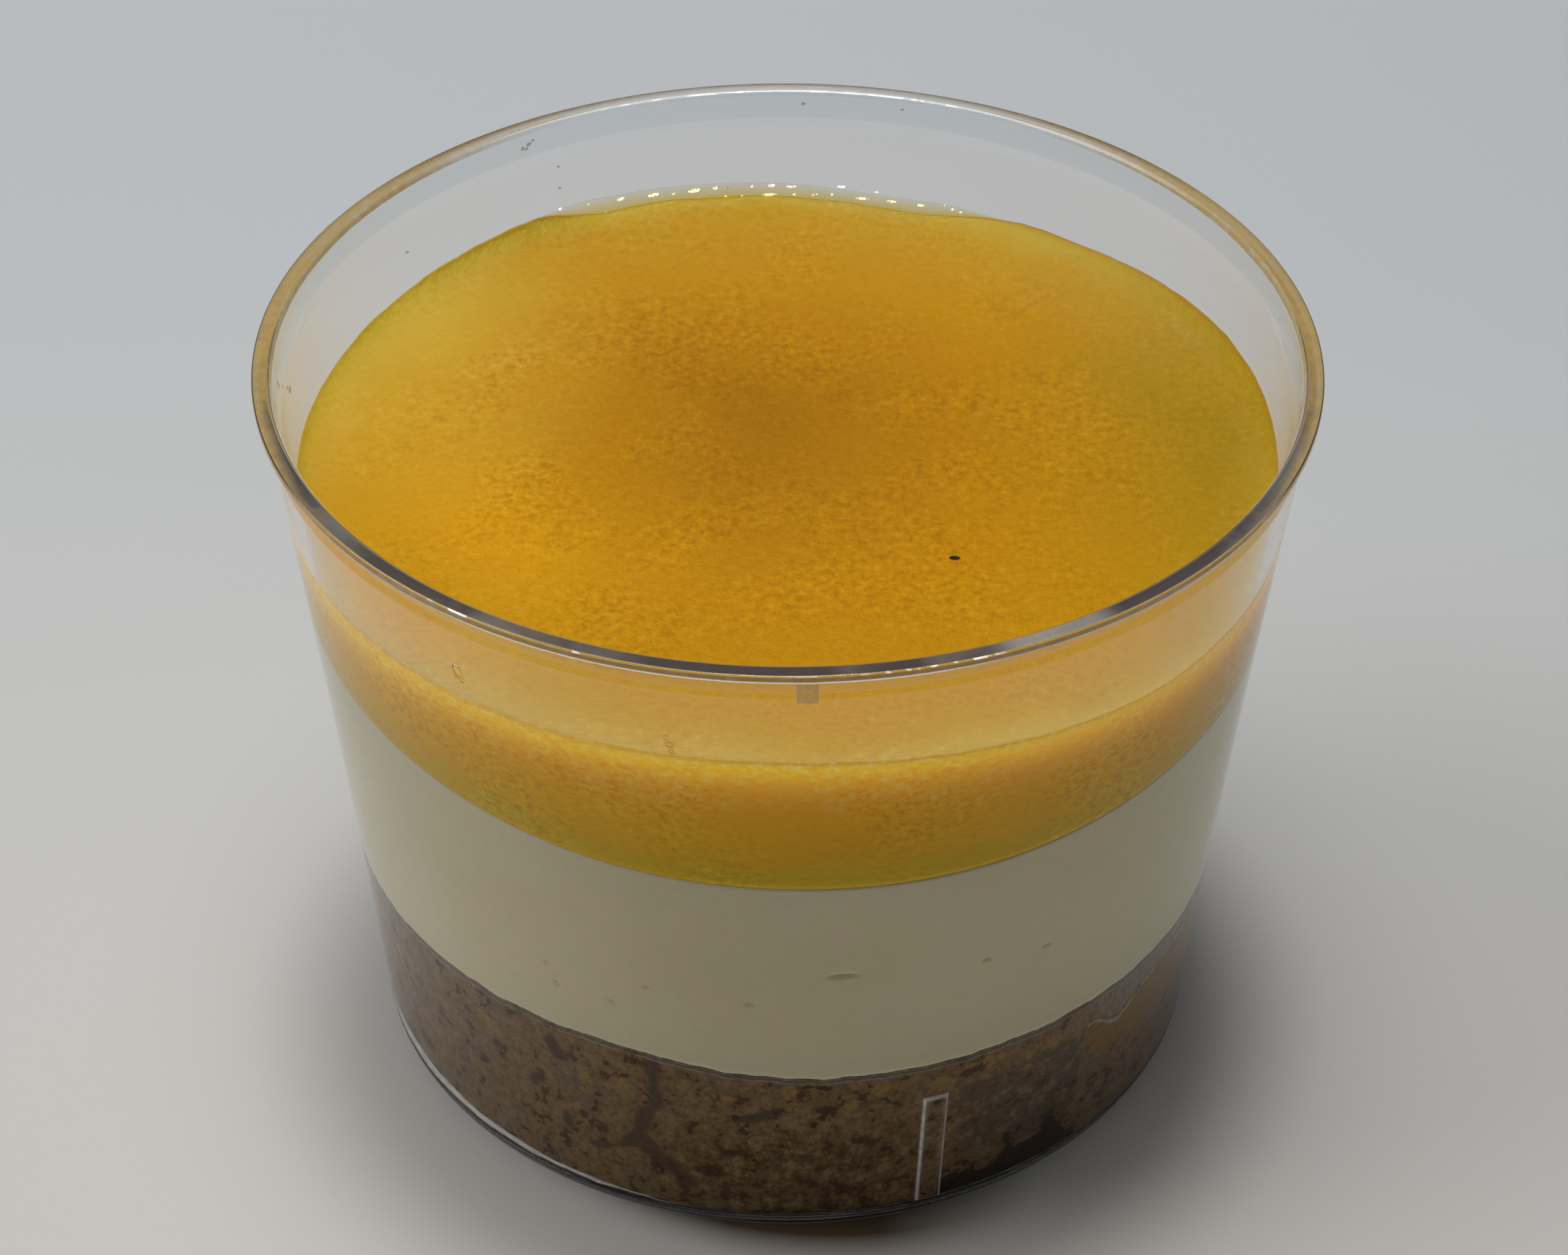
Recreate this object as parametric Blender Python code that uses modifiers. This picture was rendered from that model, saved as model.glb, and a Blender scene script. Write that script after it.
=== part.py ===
# A layered cheesecake in the clear tumbler it is served in: a pressed biscuit-crumb base, a set
# cream-cheese layer and a fruit-jelly topping, with a little free wall above the jelly.
# Metres, +Z up. The tumbler's axis is Z, it stands on z = 0 and its front faces -Y.

import math

import bmesh
import bpy
from mathutils import Matrix, Vector, noise

# ---------------------------------------------------------------- driving dimensions
CUP_HEIGHT = 0.05545
RIM_RADIUS = 0.0370          # outside of the lip
LIP_THICKNESS = 0.00060      # height of the lip's outer band
LIP_INNER_ROUND = 0.00036    # rounding of the lip's top, at the mouth
LIP_OUTER_ROUND = 0.00012    # and at the outside
LIP_CHAMFER = 0.0001         # at the outside of the lip's underside
WALL = 0.0010
MOUTH_RADIUS = 0.03645       # outside of the wall where it meets the lip
BASE_RADIUS = 0.03033        # outside of the wall just above the bottom corner
BASE_Z = 0.0020              # height at which BASE_RADIUS is taken
WALL_BOW = 0.00020           # how far the side is hollow against a straight taper
STEP_DEPTH = 0.00012         # the wall is this much thinner above the inner step
STEP_BELOW_RIM = 0.00245
CORNER_OUTER = 0.0022        # bottom corner, outside
CORNER_INNER = 0.0016
FLOOR_TOP = 0.0014
FLOOR_UNDERSIDE = 0.0005     # the floor is raised inside the foot ring
FOOT_RING_WIDTH = 0.0014

BISCUIT_TOP = 0.01615        # on the right, where the crumb is lowest
CRUMB_RISE = 0.00145         # the crumb stands this much higher on its left
CRUMB_RISE_FROM = 0.0030     # the rise starts at this x
CRUMB_RISE_WIDTH = 0.017     # and is full this much further left
CREAM_TOP = 0.03515          # in the middle of the front
CREAM_DISH = 0.00205         # the cream stands this much higher at its two sides
CREAM_TILT = 0.0008          # and leans this much down to the right
CREAM_REACH = 0.0285         # both measured at this distance from the middle
JELLY_LEVEL = 0.04625
MENISCUS_RISE = 0.00084      # mean climb at the wall
MENISCUS_LENGTH = 0.0009     # distance over which the climb fades
# How the jelly's edge wanders round the wall: height and angle of one, two, three and four waves
EDGE_WAVES = ((0.00093, -169), (0.00039, -49), (0.00051, -41), (0.00034, 60))
EDGE_LENGTH = 0.0022         # distance over which the shorter waves fade
GAP = 0.0003                 # between touching solids

TOP_RELIEF = 0.00025         # unevenness of the crumb's top
SIDE_RELIEF = 0.00060        # depth of the crags pressed against the wall
CRAG_SIZE = 0.0042

STEPS = 96                   # facets round the tumbler and its contents


# ---------------------------------------------------------------- small helpers
def wall_radius(z):
    """Outside of the wall: a straight taper, drawn in a little at mid-height."""
    span = CUP_HEIGHT - LIP_THICKNESS - BASE_Z
    t = (z - BASE_Z) / span
    return BASE_RADIUS + (MOUTH_RADIUS - BASE_RADIUS) * t - 4 * WALL_BOW * t * (1 - t)


def inner_radius(z):
    """Inside of the wall, with the thinner band above the step."""
    above_step = z > CUP_HEIGHT - STEP_BELOW_RIM
    return wall_radius(z) - WALL + (STEP_DEPTH if above_step else 0.0)


def arc(centre_r, centre_z, radius, start_deg, end_deg, count):
    """Points (r, z) of an arc, angles from +r towards +z."""
    angles = [math.radians(start_deg + (end_deg - start_deg) * i / (count - 1)) for i in range(count)]
    return [(centre_r + radius * math.cos(a), centre_z + radius * math.sin(a)) for a in angles]


def spread(start, end, count):
    """Evenly spaced values from start to end, both included."""
    return [start + (end - start) * i / (count - 1) for i in range(count)]


def smooth_bump(value, centre, half_width):
    """1 at the centre, 0 beyond half_width, with a soft shoulder."""
    d = abs(value - centre) / half_width
    return 0.0 if d >= 1 else (1 - d * d) ** 2


def material(name, colour, roughness, transmission=0.0, ior=1.45, coat=0.0):
    mat = bpy.data.materials.new(name)
    mat.use_nodes = True
    shader = mat.node_tree.nodes["Principled BSDF"]
    shader.inputs["Base Color"].default_value = (*colour, 1.0)
    shader.inputs["Roughness"].default_value = roughness
    shader.inputs["Metallic"].default_value = 0.0
    shader.inputs["Transmission Weight"].default_value = transmission
    shader.inputs["IOR"].default_value = ior
    shader.inputs["Coat Weight"].default_value = coat
    mat.diffuse_color = (*colour, 1.0)
    return mat


def collection(name):
    made = bpy.data.collections.new(name)
    bpy.context.scene.collection.children.link(made)
    return made


def turned(name, profile, group, mat):
    """A closed solid of revolution: an open profile from axis to axis, carried round by a Screw."""
    mesh = bpy.data.meshes.new(name)
    mesh.from_pydata([(r, 0.0, z) for r, z in profile], [(i, i + 1) for i in range(len(profile) - 1)], [])
    obj = bpy.data.objects.new(name, mesh)
    group.objects.link(obj)
    screw = obj.modifiers.new("turn", "SCREW")
    screw.axis = "Z"
    screw.angle = 2 * math.pi
    screw.steps = STEPS
    screw.render_steps = STEPS
    screw.use_merge_vertices = True
    screw.merge_threshold = 1e-6
    screw.use_smooth_shade = True
    mesh.materials.append(mat)
    return obj


def to_mesh(obj):
    """Swap the live modifiers for the mesh they make, so that its vertices can be moved."""
    bpy.context.view_layer.update()
    solid = bpy.data.meshes.new_from_object(obj.evaluated_get(bpy.context.evaluated_depsgraph_get()))
    obj.modifiers.clear()
    obj.data = solid
    return solid


def merge(obj, other):
    """Union another object into this one with a live Boolean."""
    union = obj.modifiers.new("with_" + other.name, "BOOLEAN")
    union.operation = "UNION"
    union.solver = "EXACT"
    union.object = other


def guide_box(name, size, matrix, group):
    """A hidden box, used only as a Boolean operand."""
    mesh = bpy.data.meshes.new(name)
    cage = bmesh.new()
    bmesh.ops.create_cube(cage, size=1.0)
    bmesh.ops.scale(cage, vec=Vector(size), verts=cage.verts)
    cage.to_mesh(mesh)
    cage.free()
    obj = bpy.data.objects.new(name, mesh)
    obj.matrix_world = matrix
    obj.hide_render = True
    obj.display_type = "WIRE"
    group.objects.link(obj)
    return obj


def on_wall(angle_deg, z, outward):
    """A frame on the outer wall: local +Y points out, local +Z runs up the tapered side."""
    slope = math.atan2(wall_radius(z + 0.002) - wall_radius(z - 0.002), 0.004)
    turn = Matrix.Rotation(math.radians(angle_deg - 180), 4, "Z")
    lean = Matrix.Rotation(-slope, 4, "X")
    place = Matrix.Translation((0.0, wall_radius(z) + outward, z))
    return turn @ place @ lean


# ---------------------------------------------------------------- the tumbler
def cup_profile():
    lip_bottom = CUP_HEIGHT - LIP_THICKNESS
    step_z = CUP_HEIGHT - STEP_BELOW_RIM
    mouth_inner = inner_radius(CUP_HEIGHT)
    corner_r = wall_radius(CORNER_OUTER) - CORNER_OUTER
    ring_inner = corner_r - FOOT_RING_WIDTH
    inner_corner_z = FLOOR_TOP + CORNER_INNER
    inner_corner_r = inner_radius(inner_corner_z) - CORNER_INNER

    inside = [(0.0, FLOOR_TOP), (0.018, FLOOR_TOP)]
    inside += arc(inner_corner_r, inner_corner_z, CORNER_INNER, -90, 0, 5)
    inside += [(inner_radius(z), z) for z in spread(inner_corner_z, step_z - 0.0002, 6)[1:]]
    inside += [(inner_radius(step_z + 0.0001), step_z)]
    lip = arc(mouth_inner + LIP_INNER_ROUND, CUP_HEIGHT - LIP_INNER_ROUND, LIP_INNER_ROUND, 180, 90, 4)
    lip += arc(RIM_RADIUS - LIP_OUTER_ROUND, CUP_HEIGHT - LIP_OUTER_ROUND, LIP_OUTER_ROUND, 90, 0, 3)
    lip += [(RIM_RADIUS, lip_bottom + LIP_CHAMFER), (RIM_RADIUS - LIP_CHAMFER, lip_bottom)]
    outside = [(wall_radius(z), z) for z in spread(lip_bottom, CORNER_OUTER, 7)]
    foot = arc(corner_r, CORNER_OUTER, CORNER_OUTER, 0, -90, 6)[1:]
    foot += [(ring_inner, 0.0), (ring_inner - 0.0006, FLOOR_UNDERSIDE), (0.0, FLOOR_UNDERSIDE)]
    return inside + lip + outside + foot


def make_cup(group, cutters):
    clear = material("clear_plastic", (0.93, 0.94, 0.95), 0.03, transmission=1.0, ior=1.59)
    cup = turned("cup", cup_profile(), group, clear)

    # Upright mould pad low on the side, a little right of the front.
    pad_angle, pad_low, pad_high = 19.5, 0.00215, 0.01305
    pad_width, pad_proud, pad_buried = 0.0019, 0.00022, 0.0005
    middle = (pad_low + pad_high) / 2
    pad = guide_box("mould_pad", (pad_width, pad_proud + pad_buried, pad_high - pad_low),
                    on_wall(pad_angle, middle, (pad_proud - pad_buried) / 2), cutters)

    # Gate stub: a small tab on the lip's outside that runs a little below it and back to the wall.
    stub_angle, stub_low, stub_high = 2.0, 0.0532, CUP_HEIGHT - 0.0002
    stub_width, stub_outer, stub_inner = 0.0016, RIM_RADIUS + 0.00004, 0.0358
    stub_place = Matrix.Rotation(math.radians(stub_angle - 180), 4, "Z") @ Matrix.Translation(
        (0.0, (stub_outer + stub_inner) / 2, (stub_low + stub_high) / 2))
    stub = guide_box("gate_stub", (stub_width, stub_outer - stub_inner, stub_high - stub_low),
                     stub_place, cutters)
    merge(cup, pad)
    merge(cup, stub)
    return cup


# ---------------------------------------------------------------- the contents
def crumb_top(x, y):
    """Height of the crumb's top over BISCUIT_TOP, the same for the crumb and the cream on it."""
    t = min(1.0, max(0.0, (CRUMB_RISE_FROM - x) / CRUMB_RISE_WIDTH))
    return CRUMB_RISE * t * t * (3 - 2 * t) + TOP_RELIEF * noise.noise(Vector((x, y, 0.031)) / 0.0065)


def cream_top(x, y):
    """Height of the cream's top over CREAM_TOP, the same for the cream and the jelly on it."""
    return CREAM_DISH * abs(x / CREAM_REACH) ** 2.6 - CREAM_TILT * x / CREAM_REACH


def flat(x, y):
    return 0.0


def crumb_side(angle_deg, z):
    """How far the crumb stands back from the wall at an angle right of the front."""
    angle = math.radians(angle_deg)
    spot = Vector((BASE_RADIUS * math.sin(angle), -BASE_RADIUS * math.cos(angle), z)) / CRAG_SIZE
    crags = SIDE_RELIEF * max(0.0, 0.25 + noise.noise(spot) + 0.5 * noise.noise(spot * 2.3))
    hollow = 0.0014 * smooth_bump(angle_deg, 33, 13) * smooth_bump(z, 0.00375, 0.0028)
    crack_angle = -20 + 0.55 * (12.65 - z * 1000)
    crack = 0.0009 * smooth_bump(angle_deg, crack_angle, 4.2) * smooth_bump(z, 0.00765, 0.0065)
    return crags + hollow + crack


def layer_rings(outer):
    """Radii of the rings that make up an uneven face, the same for the two layers that meet there."""
    return [0.0, 0.010, 0.019, 0.026, outer]


def lift_layer(obj, low, low_lift, high, high_lift):
    """Lift what is at low and below by low_lift(x, y), what is at high and above by high_lift(x, y) and
    the rest in proportion. The side keeps its gap from the tapered wall."""
    for vertex in to_mesh(obj).vertices:
        x, y, z = vertex.co
        radius = math.hypot(x, y)
        on_side = radius > inner_radius(z) - GAP - 1e-5
        share = min(1.0, max(0.0, (z - low) / (high - low)))
        vertex.co.z += (1 - share) * low_lift(x, y) + share * high_lift(x, y)
        if on_side:
            scale = (inner_radius(vertex.co.z) - GAP) / radius
            vertex.co.x *= scale
            vertex.co.y *= scale


def make_biscuit(group):
    crumb = material("biscuit_crumb", (0.165, 0.095, 0.045), 0.75)
    top = BISCUIT_TOP - GAP / 2
    bottom = FLOOR_TOP + GAP
    corner_z = bottom + CORNER_INNER
    outer = inner_radius(top) - GAP
    profile = [(r, top) for r in layer_rings(outer)]
    profile += [(inner_radius(z) - GAP, z) for z in spread(top, corner_z, 9)[1:]]
    profile += arc(inner_radius(corner_z) - GAP - CORNER_INNER, corner_z, CORNER_INNER, 0, -90, 4)[1:]
    profile += [(0.016, bottom), (0.0, bottom)]
    obj = turned("biscuit_base", profile, group, crumb)

    lift_layer(obj, corner_z, flat, top, crumb_top)
    side_from = 0.0265
    for vertex in obj.data.vertices:
        x, y, z = vertex.co
        radius = math.hypot(x, y)
        if radius > side_from:
            back = crumb_side(math.degrees(math.atan2(x, -y)), z)
            vertex.co.x *= (radius - back) / radius
            vertex.co.y *= (radius - back) / radius
    return obj


def make_cream(group):
    cream = material("cream_cheese", (0.80, 0.78, 0.62), 0.40, coat=0.1)
    top = CREAM_TOP - GAP / 2
    bottom = BISCUIT_TOP + GAP / 2
    outer_bottom = inner_radius(bottom) - GAP
    profile = [(r, top) for r in layer_rings(inner_radius(top) - GAP)]
    profile += [(inner_radius(z) - GAP, z) for z in spread(top, bottom, 4)[1:]]
    profile += [(r, bottom) for r in reversed(layer_rings(outer_bottom)[:-1])]
    obj = turned("cream_layer", profile, group, cream)
    lift_layer(obj, bottom, crumb_top, top, cream_top)
    return obj


def jelly_height(radius, wall):
    """Level jelly that climbs the wall: the rise falls off with distance from it."""
    return JELLY_LEVEL + MENISCUS_RISE * math.exp(-(wall - radius) / MENISCUS_LENGTH)


def jelly_top(x, y):
    """How the jelly's top leaves that shape: the first wave tips all of it, the others fade from the wall."""
    angle = math.atan2(x, -y)
    radius = math.hypot(x, y)
    wall = inner_radius(JELLY_LEVEL) - GAP
    waves = [height * math.cos(count * angle - math.radians(phase))
             for count, (height, phase) in enumerate(EDGE_WAVES, 1)]
    return waves[0] * radius / wall + sum(waves[1:]) * math.exp(-max(0.0, wall - radius) / EDGE_LENGTH)


def make_topping(group):
    jelly = material("fruit_jelly", (0.78, 0.36, 0.012), 0.12, coat=0.4)
    contact_z = JELLY_LEVEL + MENISCUS_RISE
    wall = inner_radius(contact_z) - GAP
    bottom = CREAM_TOP + GAP / 2
    rings = [0.0, 0.012, 0.024, 0.0300, wall - 0.0024, wall - 0.0014, wall - 0.0007, wall - 0.0003, wall]
    profile = [(r, jelly_height(r, wall)) for r in rings]
    profile += [(inner_radius(z) - GAP, z) for z in spread(contact_z, bottom, 4)[1:]]
    profile += [(r, bottom) for r in reversed(layer_rings(0.0)[:-1])]
    obj = turned("fruit_topping", profile, group, jelly)
    lift_layer(obj, bottom, cream_top, JELLY_LEVEL, jelly_top)
    return obj


def main():
    for old in list(bpy.data.objects):
        bpy.data.objects.remove(old, do_unlink=True)
    parts = collection("cheesecake_in_tumbler")
    cutters = collection("cutters")
    make_cup(parts, cutters)
    make_biscuit(parts)
    make_cream(parts)
    make_topping(parts)


main()
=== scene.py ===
import math

import bpy
import numpy as np
from mathutils import Matrix, Vector


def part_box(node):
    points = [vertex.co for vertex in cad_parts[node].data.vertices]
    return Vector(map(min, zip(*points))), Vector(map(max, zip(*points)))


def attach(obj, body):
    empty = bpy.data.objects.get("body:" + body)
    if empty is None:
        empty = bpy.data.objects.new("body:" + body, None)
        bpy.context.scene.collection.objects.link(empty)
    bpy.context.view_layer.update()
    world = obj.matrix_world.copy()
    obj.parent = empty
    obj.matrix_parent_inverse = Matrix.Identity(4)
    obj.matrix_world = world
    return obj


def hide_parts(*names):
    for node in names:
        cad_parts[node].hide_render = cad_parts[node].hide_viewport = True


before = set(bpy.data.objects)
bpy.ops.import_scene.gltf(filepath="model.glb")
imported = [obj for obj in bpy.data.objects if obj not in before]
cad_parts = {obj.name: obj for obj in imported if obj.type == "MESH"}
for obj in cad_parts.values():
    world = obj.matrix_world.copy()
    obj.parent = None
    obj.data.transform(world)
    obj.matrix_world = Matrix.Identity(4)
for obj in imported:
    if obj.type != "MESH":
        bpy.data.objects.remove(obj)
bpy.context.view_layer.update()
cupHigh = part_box("cup")[1]

# The tumbler's section, read by every piece that touches its wall
cup = {
    "rimRadius": cupHigh[0],
    "height": cupHigh[2],
    "lipBand": 0.00060,          # height of the lip's outer face
    "lipInner": 0.00036,         # rounding of the lip's top at the mouth
    "lipOuter": 0.00012,         # and at the outside
    "wall": 0.0010,
    "mouthRadius": 0.03645,      # outside of the wall under the lip
    "baseRadius": 0.03033,       # outside of the wall at baseZ
    "baseZ": 0.0020,
    "bow": 0.00020,              # the side is this hollow against a straight taper
    "stepDepth": 0.00012,        # the wall is thinner above the inner step
    "stepBelowRim": 0.00245,
    "cornerOuter": 0.0022,
    "cornerInner": 0.0016,
    "floorTop": 0.0014,
    "floorUnder": 0.0005,
    "footWidth": 0.0014,
    "bite": 0.00006,             # how far the food reaches into the wall, so that no air shows
}

# Where one layer ends and the next begins
layers = {
    "crumbTop": 0.01615,         # at the right, where the crumb is lowest
    "crumbRise": 0.00145,        # the crumb stands this much higher on its left
    "riseFrom": 0.0030,          # x at which that rise starts, and how far left it is full
    "riseWidth": 0.017,
    "creamTop": 0.03515,         # in the middle of the front
    "creamDish": 0.00205,        # the cream stands this much higher at its two sides
    "creamTilt": 0.0008,         # and leans this much down to the right
    "creamReach": 0.0285,        # both at this distance from the middle
    "creamRadius": 0.0330,       # its radius at its top
    "jellyLevel": 0.04625,
    "jellyRadius": 0.0346,
    "edgeRadius": 0.0345,        # radius for noise and distances along the jelly's edge
    "jellyClimb": 0.00084,       # mean climb of the jelly at the wall
    # How its edge wanders round the wall: height and angle of one, two, three and four waves
    "edgeWaves": ((0.00093, -169), (0.00039, -49), (0.00051, -41), (0.00034, 60)),
    "edgeLength": 0.0022,        # distance from the wall over which the shorter waves fade
}


# Outside of the wall: a straight taper, drawn in by a parabola at mid-height
def wallOutside(z):
    t = (z - cup["baseZ"]) / (cup["height"] - cup["lipBand"] - cup["baseZ"])
    return cup["baseRadius"] + (cup["mouthRadius"] - cup["baseRadius"]) * t - 4 * cup["bow"] * t * (1 - t)


# Inside of the wall: its outside less its thickness, which is smaller above the inner step
def wallInside(z):
    step = np.where(z > cup["height"] - cup["stepBelowRim"], cup["stepDepth"], 0.0)
    return wallOutside(z) - cup["wall"] + step


# 0 below low, 1 above high, with the cubic 3t^2 - 2t^3 between
def ease(value, low, high):
    t = np.clip((value - low) / (high - low), 0, 1)
    return t * t * (3 - 2 * t)


# 1 at the centre, 0 from halfWidth on: (1 - d^2)^2
def bump(value, centre, halfWidth):
    d = np.clip(np.abs(value - centre) / halfWidth, 0, 1)
    return (1 - d * d) ** 2


# Top of the crumb: an eased rise to the left
def crumbTop(x):
    return layers["crumbTop"] + layers["crumbRise"] * ease(layers["riseFrom"] - x, 0, layers["riseWidth"])


# Top of the cream: dish * |x / reach|^2.6 - tilt * x / reach
def creamTop(x):
    s = x / layers["creamReach"]
    return layers["creamTop"] + layers["creamDish"] * np.abs(s) ** 2.6 - layers["creamTilt"] * s


# Lift of the jelly's top over its level: the first wave tips all of it, the others fade from the wall
def jellyWaves(turn, fromWall):
    angle = np.radians(turn)
    waves = [height * np.cos(count * angle - math.radians(phase))
             for count, (height, phase) in enumerate(layers["edgeWaves"], 1)]
    tip = waves[0] * (1 - fromWall / layers["jellyRadius"])
    return tip + sum(waves[1:]) * np.exp(-fromWall / layers["edgeLength"])


# Points of an arc, as columns r and z; angles in degrees from +r towards +z
def arc(r, z, radius, start, end, count):
    a = np.radians(np.linspace(start, end, count))
    return np.stack([r + radius * np.cos(a), z + radius * np.sin(a)], 1)


# Evenly spaced values, with finer ones put in over each (low, high, spacing)
def spaced(low, high, count, finer=()):
    values = np.linspace(low, high, count)
    for start, end, step in finer:
        values = values[(values < start) | (values > end)]
        values = np.concatenate([values, np.linspace(start, end, int(math.ceil((end - start) / step)) + 1)])
    return np.sort(values)


# Smooth noise from -1 to 1: random values on a lattice of the given cell, blended with the cubic ease
def latticeNoise(points, cell, seed):
    size = 32
    table = np.random.default_rng(seed).uniform(-1, 1, (size, size, size))
    p = points / cell + 1000     # keeps the lattice's numbers above 0
    i = np.floor(p).astype(int)
    f = p - i
    f = f * f * (3 - 2 * f)
    total = 0
    for corner in range(8):
        o = np.array([corner & 1, corner >> 1 & 1, corner >> 2])
        weight = np.prod(np.where(o == 1, f, 1 - f), -1)
        k = (i + o) % size
        total = total + weight * table[k[..., 0], k[..., 1], k[..., 2]]
    return total


# Sum of lattice noises, each half as large and half as strong as the one before
def roughNoise(points, cell, octaves, seed):
    return sum(latticeNoise(points, cell / 2 ** k, seed + k) / 2 ** k for k in range(octaves))


# Point on the grid = (radius sin turn, -radius cos turn, height)
def roundPoints(radius, height, turn):
    angle = np.radians(turn)
    return np.stack(np.broadcast_arrays(radius * np.sin(angle), -radius * np.cos(angle), height), -1)


# Distance from (x, z) to a line through the given points
def lineDistance(x, z, points):
    nearest = np.inf
    for (ax, az), (bx, bz) in zip(points, points[1:]):
        along = ((x - ax) * (bx - ax) + (z - az) * (bz - az)) / ((bx - ax) ** 2 + (bz - az) ** 2)
        t = np.clip(along, 0, 1)
        nearest = np.minimum(nearest, np.hypot(x - ax - t * (bx - ax), z - az - t * (bz - az)))
    return nearest


# An object from points and faces, with a float attribute for each field in values
def linkMesh(name, points, faces, values):
    mesh = bpy.data.meshes.new(name)
    mesh.from_pydata(points.tolist(), [], faces)
    for title, field in values.items():
        mesh.attributes.new(title, "FLOAT", "POINT").data.foreach_set("value", field.astype(np.float32))
    mesh.shade_smooth()
    obj = bpy.data.objects.new(name, mesh)
    bpy.context.scene.collection.objects.link(obj)
    return obj


# Quads between neighbouring rows and columns of a grid whose rows start at the given indices
def gridFaces(rowStarts, columns):
    across = np.arange(columns)
    beside = (across + 1) % columns
    up, down = rowStarts[:-1, None], rowStarts[1:, None]
    return np.stack([up + across, down + across, down + beside, up + beside], -1).reshape(-1, 4).tolist()


# A closed turned body from a (rows, columns) grid of points that wraps in columns. Its first and last rows
# lie on the axis and become one point each. Each field in values is a grid too.
def closedGrid(name, grid, values):
    rows, columns = grid.shape[:2]
    across = np.arange(columns)
    beside = (across + 1) % columns

    def flat(field):
        body = field[1:-1].reshape(-1, *field.shape[2:])
        return np.concatenate([field[:1].mean(1), body, field[-1:].mean(1)])

    last = 1 + (rows - 2) * columns
    foot = last - columns
    faces = gridFaces(1 + np.arange(rows - 2) * columns, columns)
    faces += np.stack([across * 0, 1 + across, 1 + beside], 1).tolist()
    faces += np.stack([foot + across, across * 0 + last, foot + beside], 1).tolist()
    return linkMesh(name, flat(grid), faces, {title: flat(field) for title, field in values.items()})


# A material with its Principled shader; the functions below add the usual nodes to it
def newMaterial(name, colour, **sockets):
    mat = bpy.data.materials.new(name)
    mat.use_nodes = True
    shader = mat.node_tree.nodes["Principled BSDF"]
    shader.inputs["Base Color"].default_value = (*colour, 1)
    for socket, value in sockets.items():
        shader.inputs[socket.replace("_", " ")].default_value = value
    mat.diffuse_color = (*colour, 1)
    return mat, shader


# A setting is one of the node's own, or else of the socket with that name, _ standing for a space
def addNode(mat, kind, **settings):
    node = mat.node_tree.nodes.new("ShaderNode" + kind)
    for key, value in settings.items():
        if hasattr(node, key):
            setattr(node, key, value)
        else:
            node.inputs[key.replace("_", " ")].default_value = value
    return node


# Links an output to a socket
def join(mat, source, socket):
    mat.node_tree.links.new(source, socket)


# Sets a socket from another socket, a number or a colour
def fill(mat, value, socket):
    if isinstance(value, bpy.types.NodeSocket):
        join(mat, value, socket)
    else:
        socket.default_value = value if isinstance(value, (int, float)) else (*value, 1)


# Object coordinates, in metres from the part's origin
def objectPlace(mat):
    return addNode(mat, "TexCoord").outputs["Object"]


# One of the piece's own fields
def field(mat, name):
    return addNode(mat, "Attribute", attribute_name=name).outputs["Fac"]


# Noise with grains of the given size in metres
def noiseNode(mat, where, size, detail=3.0, rough=0.55, stretch=None):
    node = addNode(mat, "TexNoise", Scale=1 / size, Detail=detail, Roughness=rough)
    if stretch:
        mapping = addNode(mat, "Mapping", Scale=stretch)
        join(mat, where, mapping.inputs["Vector"])
        where = mapping.outputs["Vector"]
    join(mat, where, node.inputs["Vector"])
    return node.outputs["Fac"]


# Colour that goes through the given stops, each a place from 0 to 1 and a colour
def rampNode(mat, source, stops):
    node = addNode(mat, "ValToRGB")
    ramp = node.color_ramp
    for n, (place, colour) in enumerate(stops):
        stop = ramp.elements[n] if n < 2 else ramp.elements.new(place)
        stop.position = place
        stop.color = (*colour, 1)
    join(mat, source, node.inputs["Fac"])
    return node.outputs["Color"]


# Goes straight from outLow at low to outHigh at high, and stays there beyond them
def remapNode(mat, source, low, high, outLow=0.0, outHigh=1.0):
    node = addNode(mat, "MapRange")
    for key, value in zip(("From Min", "From Max", "To Min", "To Max"), (low, high, outLow, outHigh)):
        node.inputs[key].default_value = value
    join(mat, source, node.inputs["Value"])
    return node.outputs["Result"]


# Colour a, with the given share of colour b
def mixNode(mat, factor, a, b, blend="MIX"):
    node = addNode(mat, "Mix", data_type="RGBA", blend_type=blend)
    for value, socket in ((factor, node.inputs[0]), (a, node.inputs[6]), (b, node.inputs[7])):
        fill(mat, value, socket)
    return node.outputs[2]


# One operation on two numbers or outputs
def mathNode(mat, operation, a, b):
    node = addNode(mat, "Math", operation=operation)
    fill(mat, a, node.inputs[0])
    fill(mat, b, node.inputs[1])
    return node.outputs["Value"]


# Goes from low to high as its source goes from 0 to 1
def slideNode(mat, source, low, high):
    return remapNode(mat, source, 0.0, 1.0, low, high)


# a * b
def timesNode(mat, a, b):
    return mathNode(mat, "MULTIPLY", a, b)


# Colour a multiplied by colour b
def tintNode(mat, a, b):
    return mixNode(mat, 1.0, a, b, "MULTIPLY")


# Bumps of the given depth in metres on a shader's normal
def bumpNode(mat, height, shader, depth, strength=1.0):
    node = addNode(mat, "Bump", Strength=strength, Distance=depth)
    join(mat, height, node.inputs["Height"])
    join(mat, node.outputs["Normal"], shader.inputs["Normal"])


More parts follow.
